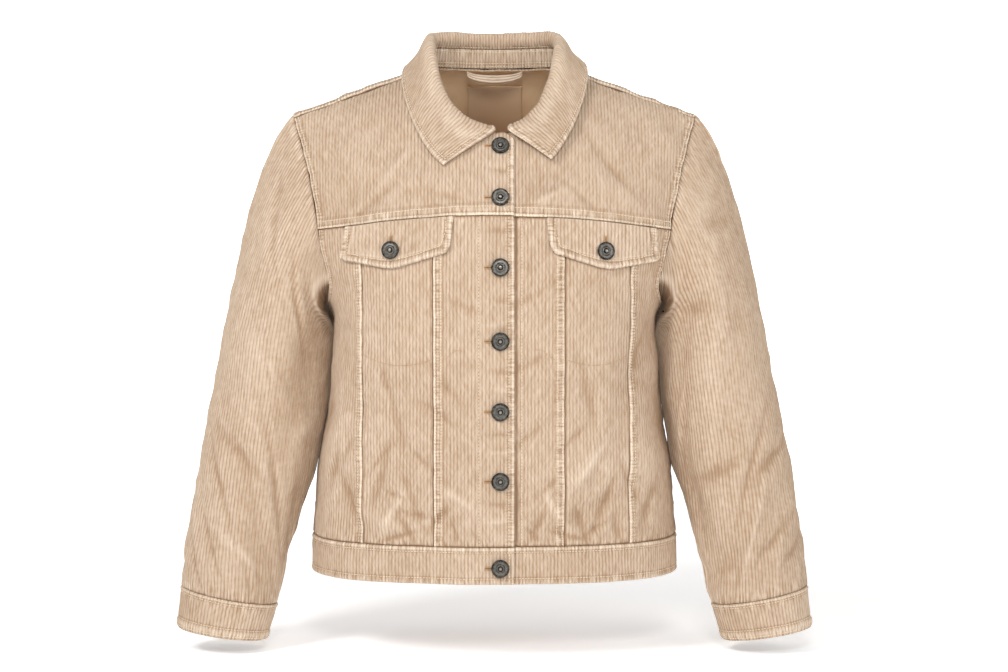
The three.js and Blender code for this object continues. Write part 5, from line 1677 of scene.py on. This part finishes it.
def build_flap(name, side, lifted, seed):
    columns = corded(FLAP["far"] - FLAP["near_top"])
    x = FLAP["near_top"] + columns
    v = crowded(0, 46, 2.2, 0.9, 8) / 46
    xx = np.broadcast_to(x[None, :], (len(v), len(x))).copy()
    for _ in range(12):
        drop = mix(FLAP["top"], flap_edge(xx), v[:, None])
        xx = np.clip(x[None, :], flap_side("near", drop), flap_side("far", drop))
    level = YOKE + drop
    point, normal = dressed(front_angle(CENTRE + side * xx, level), level, lifted, DOUBLE + FLAP_LIFT)
    s = xx - FLAP["near_top"]
    near_edge, far_edge = xx - flap_side("near", drop), flap_side("far", drop) - xx
    low_edge = flap_edge(xx) - drop
    slope = 0.96  # the lower edge runs down to the point, so its true distance is a little less
    d = np.maximum(np.minimum(np.minimum(near_edge, far_edge), low_edge * slope), 0)
    slow = worn_front(point[..., 0], level)
    height = ribs(s, drop, 40 + seed) + slow + 0.2 * uneven(s, drop, (12, 15), 150 + seed)
    height += (
        0.85 * hill(d, 2.9, 2.2) + edged(d, 2.6, 1.4) - 0.62 * hill(d, 7.0, 1.1) + 0.3 * hill(d, 9.3, 1.3)
    )
    height += 0.35 * uneven(s, drop, (8, 9), 152 + seed) * np.exp(-((d / 10) ** 2))
    height += (1.0 + 0.7 * uneven(s, drop, (21, 90), 154 + seed)) * soft(12, 1, low_edge)
    # a paler edge, partly rubbed and partly painted highlight, painted shade in the stitch groove, and a
    # paler line inside it
    wear_and_painted_light = 0.75 * hill(d, 1.8, 1.8) - 0.8 * hill(d, 7.0, 0.9) + 0.4 * hill(d, 9.3, 1.1)
    # painted shade in the creases and painted highlight on their ridges
    wear_and_painted_light = wear_and_painted_light + painted_crease_light(point[..., 0], level)
    hang(
        f"pocket_flap_{name}", raised(point, normal, height), raised(point, normal, slow - DOUBLE),
        np.stack([s + 500 + 150 * seed, drop], -1), wear_and_painted_light, puckers([near_edge, far_edge], [low_edge]),
        slots=BOTH_FACES, s=columns, v=v, normal=normal, x=xx, drop=drop, d=d,
    )

# %% [markdown]
# ## Buttons
# A shank button is pressed from sheet metal, so each is one profile turned round its axis. Its rim has fine
# notches and its middle has a ring and a stud. Each corner keeps how bright the metal is there.

# %% Helper for finished pieces
def finished(name, bm, material, smooth=True):
    """Makes an object of a bmesh, in one material."""
    for f in bm.faces:
        f.smooth = smooth
    mesh = bpy.data.meshes.new(name)
    bm.to_mesh(mesh)
    bm.free()
    mesh.materials.append(material)
    piece = bpy.data.objects.new(name, mesh)
    bpy.context.scene.collection.objects.link(piece)
    return piece

# %% Buttons
BUTTON = {"radius": 9.2, "height": 3.4, "shank": 3.2, "base": 0.9}
BUTTON_LEVELS = (84.5, 136, 205.5, 279, 350, 421, 510)
# the profile, as shares of the radius and the height: the back, the rim, the hollow, the ring and the stud
PROFILE = [
    (0.8, 0), (0.95, 0.1), (1, 0.26), (1, 0.42), (0.985, 0.6), (0.945, 0.71), (0.9, 0.74),
    (0.86, 0.7), (0.835, 0.58), (0.8, 0.55), (0.6, 0.5), (0.57, 0.56), (0.53, 0.57), (0.5, 0.5),
    (0.46, 0.4), (0.33, 0.4), (0.3, 0.56), (0.27, 0.78), (0.22, 0.92), (0.13, 0.985), (0, 1),
]
# how bright the metal is at shares of the radius
BRIGHT_RINGS = [
    (0, 1), (0.11, 0.95), (0.16, 0), (0.3, 0), (0.35, 0.75), (0.41, 0.75),
    (0.46, 0.2), (0.54, 0.28), (0.74, 0.25), (0.82, 0.04), (0.92, 0.16), (1, 0.02),
]
TURN_STEPS = 56


def build_button(name, point, normal, turn=0.0):
    radius, shank, base = BUTTON["radius"], BUTTON["shank"], BUTTON["base"]
    face = [(radius * r, base + BUTTON["height"] * z) for r, z in PROFILE]
    bm = bmesh.new()
    verts = [bm.verts.new((r * MM, 0, z * MM)) for r, z in [(0, 0), (shank, 0), (shank, base), *face]]
    edges = [bm.edges.new(pair) for pair in zip(verts, verts[1:])]
    around = {"cent": (0, 0, 0), "axis": (0, 0, 1), "angle": 2 * math.pi, "steps": TURN_STEPS}
    bmesh.ops.spin(bm, geom=verts + edges, **around)
    bmesh.ops.remove_doubles(bm, verts=bm.verts, dist=1e-6)
    # notches round the rim's inner ring, in place of any mark; the notches are paler
    bright = bm.verts.layers.float.new("bright")
    for v in bm.verts:
        r, a = math.hypot(v.co.x, v.co.y) / MM / radius, math.atan2(v.co.y, v.co.x)
        notch = 0.58 < r < 0.82 and round(a / (2 * math.pi) * TURN_STEPS) % 2
        v.co.z += 0.16 * MM * notch
        v[bright] = float(np.interp(r, *zip(*BRIGHT_RINGS))) + 0.3 * notch
    bmesh.ops.recalc_face_normals(bm, faces=bm.faces)
    facing = Vector(normal.tolist()).to_track_quat("Z", "Y").to_matrix().to_4x4()
    spin = facing @ Matrix.Rotation(turn, 4, "Z")
    bmesh.ops.transform(bm, matrix=Matrix.Translation(Vector((point * MM).tolist())) @ spin, verts=bm.verts)
    piece = finished(f"{name}_metal", bm, MATERIALS["gunmetal"])
    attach(piece, "root")
    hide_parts(name)

# %% Places of the buttons
FLAP_BUTTON = {"out": 107, "level": 185.5, "shift": 1.9}


def button_spots():
    spots = []
    for i, level in enumerate(BUTTON_LEVELS):
        height = 0.9 if level > WAIST else worn_front(CENTRE, level)
        point, normal = dressed(front_angle(CENTRE, level), level, True, height)
        spots.append((f"button_front_{i + 1}", point + normal * GAP, normal))
    for name, side, lifted in SIDES:
        x, level = CENTRE - FLAP_BUTTON["shift"] + side * FLAP_BUTTON["out"], FLAP_BUTTON["level"]
        height = DOUBLE + FLAP_LIFT + worn_front(x, level)
        point, normal = dressed(front_angle(x, level), level, lifted, height)
        spots.append((f"button_pocket_{name}", point + normal * GAP, normal))
    return spots


print("buttons:", len(BUTTON_LEVELS), "in front and one on each flap")

# %% [markdown]
# ## Hanger loop and label
# Behind the neck a folded strip of the cloth hangs in a shallow curve from the neck seam, and a satin label
# lies on the back below it. Both are laid on the inner face of the back.

# %% Hanger loop and label
def back_inside(x, z, height):
    """The inner face of the back, behind the neck, at x and z and a height off the cloth."""
    x, z = np.broadcast_arrays(np.asarray(x, float), np.asarray(z, float))
    level = np.maximum(-z, 0.5)
    for _ in range(9):
        angle = math.pi - front_angle(x, level)
        angle = np.where(angle > math.pi, angle - 2 * math.pi, angle)
        point, normal = dressed(angle, level, False, -SINGLE - height)
        level = np.maximum(level + point[..., 2] - z, 0.3)
    return point, -normal


def build_loop():
    across = np.linspace(-1, 1, 49)
    belly = (1 - across**2) ** 0.6
    v = np.linspace(0, 1, 17)[:, None]
    z = -3.6 - 4.8 * belly - v * mix(5.0, 8.6, belly)
    y = back_inside(across * 29.5, np.full_like(across, -4.4), 1.5 * GAP)[0][:, 1] - 2.0 - 3.5 * belly
    ridge = 0.28 * np.cos(v * 2 * math.pi * 3) * -1 + edged(np.minimum(v, 1 - v) * 9, 1.0, 0.6)
    point = np.stack(np.broadcast_arrays(across * 29.5, y + 0 * v, z), -1)
    forward = np.array([0, -1.0, 0])
    flat = np.stack(np.broadcast_arrays(v * 10.2 + 700, across * 31), -1)
    outer, inner = point + forward * ridge[..., None], point - 2 * forward
    hang("hanger_loop", outer, inner, flat, 0.6 + 0 * z, slots=BOTH_FACES)


def build_label():
    half_wide, top, low = 29, -19.5, -68
    x, z = np.meshgrid(np.linspace(-half_wide, half_wide, 65), np.linspace(top, low, 49))
    point, normal = back_inside(x, z, 2.0)
    from_edge = np.minimum(half_wide - np.abs(x), np.minimum(top - z, z - low))
    puff = 0.18 * uneven(x, z, (16, 19), 170) + 0.3 * soft(0, 3, from_edge)
    faces = raised(point, normal, puff), point - normal * 1.0
    hang("label_patch", *faces, np.stack([x, z], -1), 0 * x, slots=("label_satin", "label_satin"))

# %% [markdown]
# ## Stitches
# Each stitch is a small spindle of thread, three millimetres long, that lies on the cloth along its row. A
# row is a line of places on a piece of cloth, and its stitches are one mesh.

# %% Stitches
def spindle():
    """One stitch: a short five-sided tube along z, pointed at its ends, and its faces as corner numbers."""
    bm = bmesh.new()
    bmesh.ops.create_cone(bm, segments=5, radius1=0.5, radius2=0.5, depth=0.7, cap_ends=False)
    for z in (-0.5, 0.5):
        ring = [v for v in bm.verts if v.co.z * z > 0]
        tip = bm.verts.new((0, 0, z))
        ring.sort(key=lambda v: math.atan2(v.co.y, v.co.x))
        for a, b in zip(ring, ring[1:] + ring[:1]):
            bm.faces.new((a, b, tip))
    bmesh.ops.recalc_face_normals(bm, faces=bm.faces)
    bm.verts.index_update()
    points = np.array([v.co[:] for v in bm.verts])
    faces = [[v.index for v in f.verts] for f in bm.faces]
    bm.free()
    return points, faces


sewn = []


def at_ways(values, ways, places):
    """Values along a line, read at places on its way."""
    return np.stack([np.interp(places, ways, values[:, k]) for k in range(3)], -1)


def stitch_row(points, normals, pitch=3.1, thread=0.72):
    """Adds a row of stitches along a line. Each takes up most of its pitch and is sunk in a little."""
    ways = steps_along(points)
    count = int(ways[-1] / pitch)
    if count < 2:
        return
    jitter = 0.06 * pitch * np.random.default_rng(count).uniform(-1, 1, count)
    middles = (np.arange(count) + 0.5) * ways[-1] / count + jitter
    half, sunk = pitch * 0.8 / 2, 0.1
    start, end = at_ways(points, ways, middles - half), at_ways(points, ways, middles + half)
    centre, along = (start + end) / 2, unit(end - start)
    across = unit(np.cross(unit(at_ways(normals, ways, middles)), along))
    up = np.cross(along, across)
    sewn.append((centre + up * (thread / 2 - sunk), along * (2 * half), across * thread, up * thread * 0.8))


def build_stitches(name, material):
    """Joins all rows of stitches since the last call into one mesh."""
    template, faces = spindle()
    centre, along, across, up = (np.concatenate([row[k] for row in sewn])[:, None, :] for k in range(4))
    sewn.clear()
    x, y, z = (template[None, :, k : k + 1] for k in range(3))
    points = centre + (z * along + x * across + y * up)
    count, size = len(centre), len(template)
    all_faces = [[i * size + k for k in f] for i in range(count) for f in faces]
    mesh = bpy.data.meshes.new(f"{name}_rows")
    mesh.from_pydata((points.reshape(-1, 3) * MM).tolist(), [], all_faces)
    bm = bmesh.new()
    bm.from_mesh(mesh)
    bmesh.ops.recalc_face_normals(bm, faces=bm.faces)
    piece = finished(name, bm, MATERIALS[material])
    bpy.data.meshes.remove(mesh)
    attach(piece, "root")
    print(f"{name}: {count} stitches, {sum(len(f) - 2 for f in all_faces)} triangles")

# %% [markdown]
# The rows of stitches follow the felled seams, the folded edges and the pocket bags, and each buttonhole is
# a dark slit bound all round.

# %% Rows of stitches
def on_cloth(name, rows, columns):
    """Points and normals of a piece at row and column numbers, which may lie between whole ones."""
    rows, columns = np.asarray(rows, float), np.asarray(columns, float)
    return look_up(made[name]["outer"], rows, columns), unit(look_up(made[name]["normal"], rows, columns))


def sew_line(name, rows, columns, **kind):
    stitch_row(*on_cloth(name, rows, columns), **kind)


def place_rows(name, s, rows):
    """Row and column numbers on a piece, at ways across it and at its own row values."""
    piece = made[name]
    values = piece.get("r", piece.get("v"))
    s, rows = np.broadcast_arrays(np.asarray(s, float), np.asarray(rows, float))
    number = np.interp(rows, values, np.arange(len(values)))
    return number, np.interp(s, piece["s"], np.arange(len(piece["s"])))


def sew(name, s, rows, **kind):
    sew_line(name, *place_rows(name, s, rows), **kind)


def sew_down(name, d, edge="left", stop=1.0, **kind):
    """A row down a front panel, d mm in from its left or right edge."""
    piece = made[name]
    r = np.linspace(piece["r"][0] + 1, piece["r"][-1] - stop, 220)
    sew(name, d if edge == "left" else np.interp(r, piece["r"], piece["end"]) - d, r, **kind)


def yoke_row(name, s, run):
    """Row values of a yoke for ways down from the shoulder line."""
    piece = made[name]
    top = np.interp(s, piece["s"], piece["top"])
    return (run - top) / (piece["bottom"] - top)

# %% Rows on the fronts
FACING_THREAD = {"pitch": 3.4, "thread": 0.6}
BAG_THREAD = {"pitch": 2.9, "thread": 0.6}


def sew_fronts(name):
    centre, outer, yoke = (f"front_{part}_{name}" for part in ("centre", "side", "yoke"))
    for d in (1.9, 7.5):
        sew_down(centre, d, "right")
    sew_down(centre, 5.5)
    sew_down(centre, FACING, **FACING_THREAD)
    for d in (1.6, 5.0):
        sew_down(outer, d)
    for d in (1.9, 5.5):
        sew_down(outer, d, "right", stop=238)
    piece = made[yoke]
    for d in (1.9, 8.0):
        s = np.linspace(1, np.interp(0.99, piece["v"], piece["end"]) - 1, 240)
        sew(yoke, s, yoke_row(yoke, s, piece["bottom"] - d))
    for d in (1.9, 5.5):
        v = np.linspace(0.02, 0.99, 200)
        sew(yoke, np.interp(v, piece["v"], piece["end"]) - d, v)
    v = np.linspace(0.04, 0.99, 200)
    sew(yoke, 5.5 + 0 * v, v)


def sew_bag(name):
    """The curved row that holds the pocket's bag, behind the middle panel and a bit of the centre one."""
    middle, centre = f"front_middle_{name}", f"front_centre_{name}"
    s = np.linspace(0, 1, 80)
    level = 298 + 8 * (1 - (2 * s - 1) ** 2) - 3 * s
    sew(middle, 0.6 + s * (made[middle]["end"].mean() - 1.2), FRONT.run(level), **BAG_THREAD)
    reach = np.linspace(0, 20, 40)
    run = FRONT.run(298 - 10 * soft(0, 15, reach))
    end = np.interp(run, made[centre]["r"], made[centre]["end"])
    sew(centre, end - 9.6 - reach, run, **BAG_THREAD)


def sew_flap(name):
    """The row 7 mm in from a flap's edge: down its near side, along the point and up its far side."""
    name = f"pocket_flap_{name}"
    x, d = made[name]["x"], made[name]["d"]
    columns = np.arange(d.shape[1])
    rows = d.shape[0] - 1 - np.argmax(d[::-1] > 7.0, axis=0)
    x = x[rows, columns]
    reached = (d > 7.0).any(axis=0) & (x > FLAP["near_top"] + 7.5) & (x < FLAP["far_top"] - 4)
    keep = np.flatnonzero(reached)
    low = np.convolve(np.pad(rows[keep].astype(float), 4, "edge"), np.ones(9) / 9, "valid")
    down = np.linspace(1, low[0] - 1, 30)
    path_rows = np.concatenate([down, low, down[::-1] * low[-1] / low[0]])
    sew_line(name, path_rows, np.concatenate([np.full(30, keep[0]), keep, np.full(30, keep[-1])]))

# %% Rows on the collar, the bands and the back
def sew_leaf():
    name, inset = "collar_leaf", 6.0
    leaf = made[name]
    gap = leaf["way"][-1][None, :] - leaf["way"]
    levels, count = gap.shape
    rows = np.array([np.interp(-inset, -gap[:, j], np.arange(levels)) for j in range(count)])
    sew_line(name, rows[6 : count - 6], np.arange(count)[6 : count - 6])
    rows = np.linspace(0.35, 0.9, 60) * (levels - 1)
    for s in (inset, leaf["s"][-1] - 6.6):
        sew_line(name, rows, 0 * rows + np.interp(s, leaf["s"], np.arange(count)))
    sew(name, np.linspace(12, leaf["s"][-1] - 12, 500), 2.0)


def sew_bands():
    wide = made["waistband"]["s"][-1]
    for level in (WAIST + 5.0, HEM - 6.2):
        sew("waistband", np.linspace(2, wide - 6, 1500), level)
    sew("waistband", 5.0, np.linspace(WAIST + 6, HEM - 7, 30))
    sew_leaf()
    for row in (2.2, 5.6, 18.4):
        sew("collar_stand", np.linspace(30, made["collar_stand"]["s"][-1] - 30, 500), row)
    for name, side, lifted in SIDES:
        for row in (1.9, 4.6, 30.0, 37.8):
            sew(f"cuff_{name}", np.linspace(0, made[f"cuff_{name}"]["s"][-1] - 3.5, 500), row)
    back, v = made["back"], np.linspace(0.03, 0.45, 200)
    for d in (1.9, 5.5):
        for sign in (-1, 1):
            sew("back", sign * (np.interp(v, back["v"], back["end"]) - d), v)

# %% [markdown]
# A buttonhole is a narrow slit with a close row of stitches along each side of it. Each slit here is a thin
# rod that lies in the cloth beside its button, painted dark as the shade inside the slit.

# %% Buttonholes


def front_slits():
    """The slits down the front lie level, from under each button towards the edge of the right front."""
    edge = front_lines(-1)["edge"]
    for level in BUTTON_LEVELS:
        x = np.linspace(CENTRE - 16, CENTRE - 2, 24)
        levels = np.full_like(x, level)
        name, s, rows = "waistband", CENTRE + LAP - x, levels
        if level < WAIST:
            name = "front_yoke_right" if level < YOKE else "front_centre_right"
            s, rows = front_way(-x, levels) - front_way(edge, levels), FRONT.run(levels)
        if level < YOKE:
            rows = yoke_row(name, s, rows)
        yield name, *place_rows(name, s, rows), (0, 0, 1.0)


def flap_slits():
    """The slit of a flap stands upright, above its button."""
    drop = FLAP_BUTTON["level"] - YOKE
    for side_name, side, lifted in SIDES:
        name = f"pocket_flap_{side_name}"
        x = FLAP_BUTTON["out"] - FLAP_BUTTON["shift"] * side
        column = np.interp(x - FLAP["near_top"], made[name]["s"], np.arange(len(made[name]["s"])))
        drops = made[name]["drop"][:, int(column)]
        rows = np.interp(np.linspace(drop - 15.5, drop - 2, 24), drops, np.arange(len(drops)))
        yield name, rows, np.full_like(rows, column), (1.0, 0, 0)


def add_slit(bm, points, normals, across):
    """A rod with a square section, pointed at both ends, and its two rows of stitches."""
    way = steps_along(points)
    half = 0.36 * np.sqrt(np.clip(1 - (2 * way / way[-1] - 1) ** 2, 0, 1)) ** 0.7 + 0.05
    corners = ((-1, 0.42), (1, 0.42), (1, -0.3), (-1, -0.3))
    sides = [points + across * (sign * half)[:, None] + normals * lift for sign, lift in corners]
    rings = [[bm.verts.new((side[i] * MM).tolist()) for side in sides] for i in range(len(points))]
    for a, b in zip(rings, rings[1:]):
        for k in range(4):
            bm.faces.new((a[k], a[(k + 1) % 4], b[(k + 1) % 4], b[k]))
    bm.faces.new(rings[0][::-1])
    bm.faces.new(rings[-1])
    for sign in (-1, 1):
        line = points + across * (sign * (half + 0.75))[:, None]
        count = int(way[-1] / 0.75)
        at = (np.arange(count) + 0.5) * way[-1] / count
        centre, up = at_ways(line, way, at), unit(at_ways(normals, way, at))
        side_way = np.broadcast_to(across, centre.shape)
        along = unit(np.cross(side_way, up))
        sewn.append((centre + up * 0.42, side_way * 1.7, along * 0.85, up * 0.7))


def build_buttonholes():
    bm = bmesh.new()
    for name, rows, columns, across in (*front_slits(), *flap_slits()):
        add_slit(bm, *on_cloth(name, rows, columns), np.array(across))
    bmesh.ops.recalc_face_normals(bm, faces=bm.faces)
    # the slits' dark colour is painted shade
    piece = finished("buttonhole_slits", bm, MATERIALS["buttonhole"], smooth=False)
    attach(piece, "root")
    build_stitches("buttonhole_stitches", "tan_thread")

# %% [markdown]
# ## The whole jacket
# Now the pieces are made, one after another, with all that is sewn on them.

# %% The cloth
for (name, side, lifted), seed in zip(SIDES, (7, 8)):
    build_front(name, side, lifted)
    build_yoke(name, side, lifted, seed)
    build_flap(name, side, lifted, 1 if side < 0 else 2)
    build_sleeve(name, side)
    build_cuff(name, side)
build_back()
build_waistband()
build_collar()
build_loop()
build_label()

# %% The buttons
for i, (name, point, normal) in enumerate(button_spots()):
    build_button(name, point, normal, turn=0.7 * i)

# %% The stitches
for name, side, lifted in SIDES:
    sew_fronts(name)
    sew_flap(name)
build_stitches("front_stitches", "thread")
for name, side, lifted in SIDES:
    sew_bag(name)
build_stitches("bag_stitches", "tan_thread")
sew_bands()
build_stitches("edge_stitches", "thread")
build_buttonholes()

# %% [markdown]
# ## The cut
# Each cloth piece says how large it was before it was sewn into the jacket.

# %% The cut
def declare(name):
    """Gives the flat size and the flat area of a piece's cloth, read from its flat layout."""
    piece, flat = made[name]["piece"], made[name]["flat"]
    wide, long = np.ptp(flat[..., 0]) * MM, np.ptp(flat[..., 1]) * MM
    one, other = flat[1:, 1:] - flat[:-1, :-1], flat[1:, :-1] - flat[:-1, 1:]
    area = np.abs(one[..., 0] * other[..., 1] - one[..., 1] * other[..., 0]).sum() / 2 * MM * MM
    share = sum(p.area for p in piece.data.polygons) / 2 / area
    print(f"{name}: cut {wide / MM:.0f} x {long / MM:.0f} mm, {area:.4f} square metres, share {share:.2f}")


for name in made:
    declare(name)

# %% [markdown]
# ## The stage
# The jacket stands in a white room, on a sheet of paper that bends up behind it, so there is no line
# between floor and wall. The paper glows a little more the further back it lies, so it fades to white. The
# floor is just below the cuffs, and a large soft lamp from the left, a weaker one from the right and one in
# front give soft shadows.

# %% The room and the paper
scene = bpy.context.scene
scene.view_settings.view_transform = "Standard"
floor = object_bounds()[0][2] - 0.012

world = bpy.data.worlds.new("white_room")
scene.world = world
world.use_nodes = True
give(world.node_tree, world.node_tree.nodes["Background"], {0: colour("ffffff"), 1: 0.42})

paper, tree, shader = new_material("white_paper")
far = add(tree, "SeparateXYZ", add(tree, "TexCoord").outputs["Object"]).outputs["Y"]
glow = add(tree, "MapRange", far, From_Min=0.3, From_Max=1.6, To_Min=0.31, To_Max=0.73)
looks = {"Base Color": colour("fdfdfd"), "Roughness": 0.9, "Emission Color": colour("ffffff")}
give(tree, shader, looks | {"Emission Strength": glow})

HALF_PAPER, BEND, BEND_FROM, PAPER_TOP = 5, 1.2, 3.8, 3.6
bend = [math.radians(a) for a in range(0, 91, 6)]
curve = [(BEND_FROM + BEND * math.sin(a), BEND - BEND * math.cos(a)) for a in bend]
bm = bmesh.new()
profile = [(-HALF_PAPER, 0), *curve, (HALF_PAPER, PAPER_TOP)]
line = [bm.verts.new((-HALF_PAPER, y, floor + z)) for y, z in profile]
edges = [bm.edges.new(pair) for pair in zip(line, line[1:])]
swept = [v for v in bmesh.ops.extrude_edge_only(bm, edges=edges)["geom"] if isinstance(v, bmesh.types.BMVert)]
bmesh.ops.translate(bm, vec=(2 * HALF_PAPER, 0, 0), verts=swept)
bmesh.ops.recalc_face_normals(bm, faces=bm.faces)
finished("paper_sweep", bm, paper)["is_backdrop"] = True
print("the paper lies", round(floor, 4), "m up")

# %% Lamps and camera
def towards(place, aim):
    """The turn of a lamp or a camera at a place that looks at its aim."""
    return (Vector(aim) - Vector(place)).to_track_quat("-Z", "Y").to_euler()


def area_light(name, place, aim, size, watts):
    lamp = bpy.data.lights.new(name, "AREA")
    lamp.shape, lamp.size, lamp.energy, lamp.color = "DISK", size, watts, colour("ffffff")[:3]
    light = bpy.data.objects.new(name, lamp)
    light.location, light.rotation_euler = place, towards(place, aim)
    scene.collection.objects.link(light)


area_light("key", (-1.6, -1.8, 1.5), (0, 0, -0.3), 0.8, 42.5)
area_light("fill", (2.1, -1.7, 0.4), (0, 0, -0.3), 1.4, 18.5)
area_light("front", (0.1, -2.2, 0.9), (0, 0, -0.1), 0.6, 19)

lens = bpy.data.cameras.new("camera")
lens.lens, lens.sensor_width = 88.4, 36
camera = bpy.data.objects.new("camera", lens)
place, aim = (0.010, -2.5937, -0.1006), (0.010, 0, -0.282)
camera.location, camera.rotation_euler = place, towards(place, aim)
scene.collection.objects.link(camera)
scene.camera = camera

# %% The size
boxes = {"solids": solid_box, "visual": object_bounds()}
{name: [list(corner) for corner in box] for name, box in boxes.items()}
pieces = [o for o in scene.objects if o.type == "MESH" and "_" in o.name]
meshes = [piece.data for piece in pieces if piece.name not in frame["nodes"]]
print("triangles added:", sum(len(p.vertices) - 2 for mesh in meshes for p in mesh.polygons))
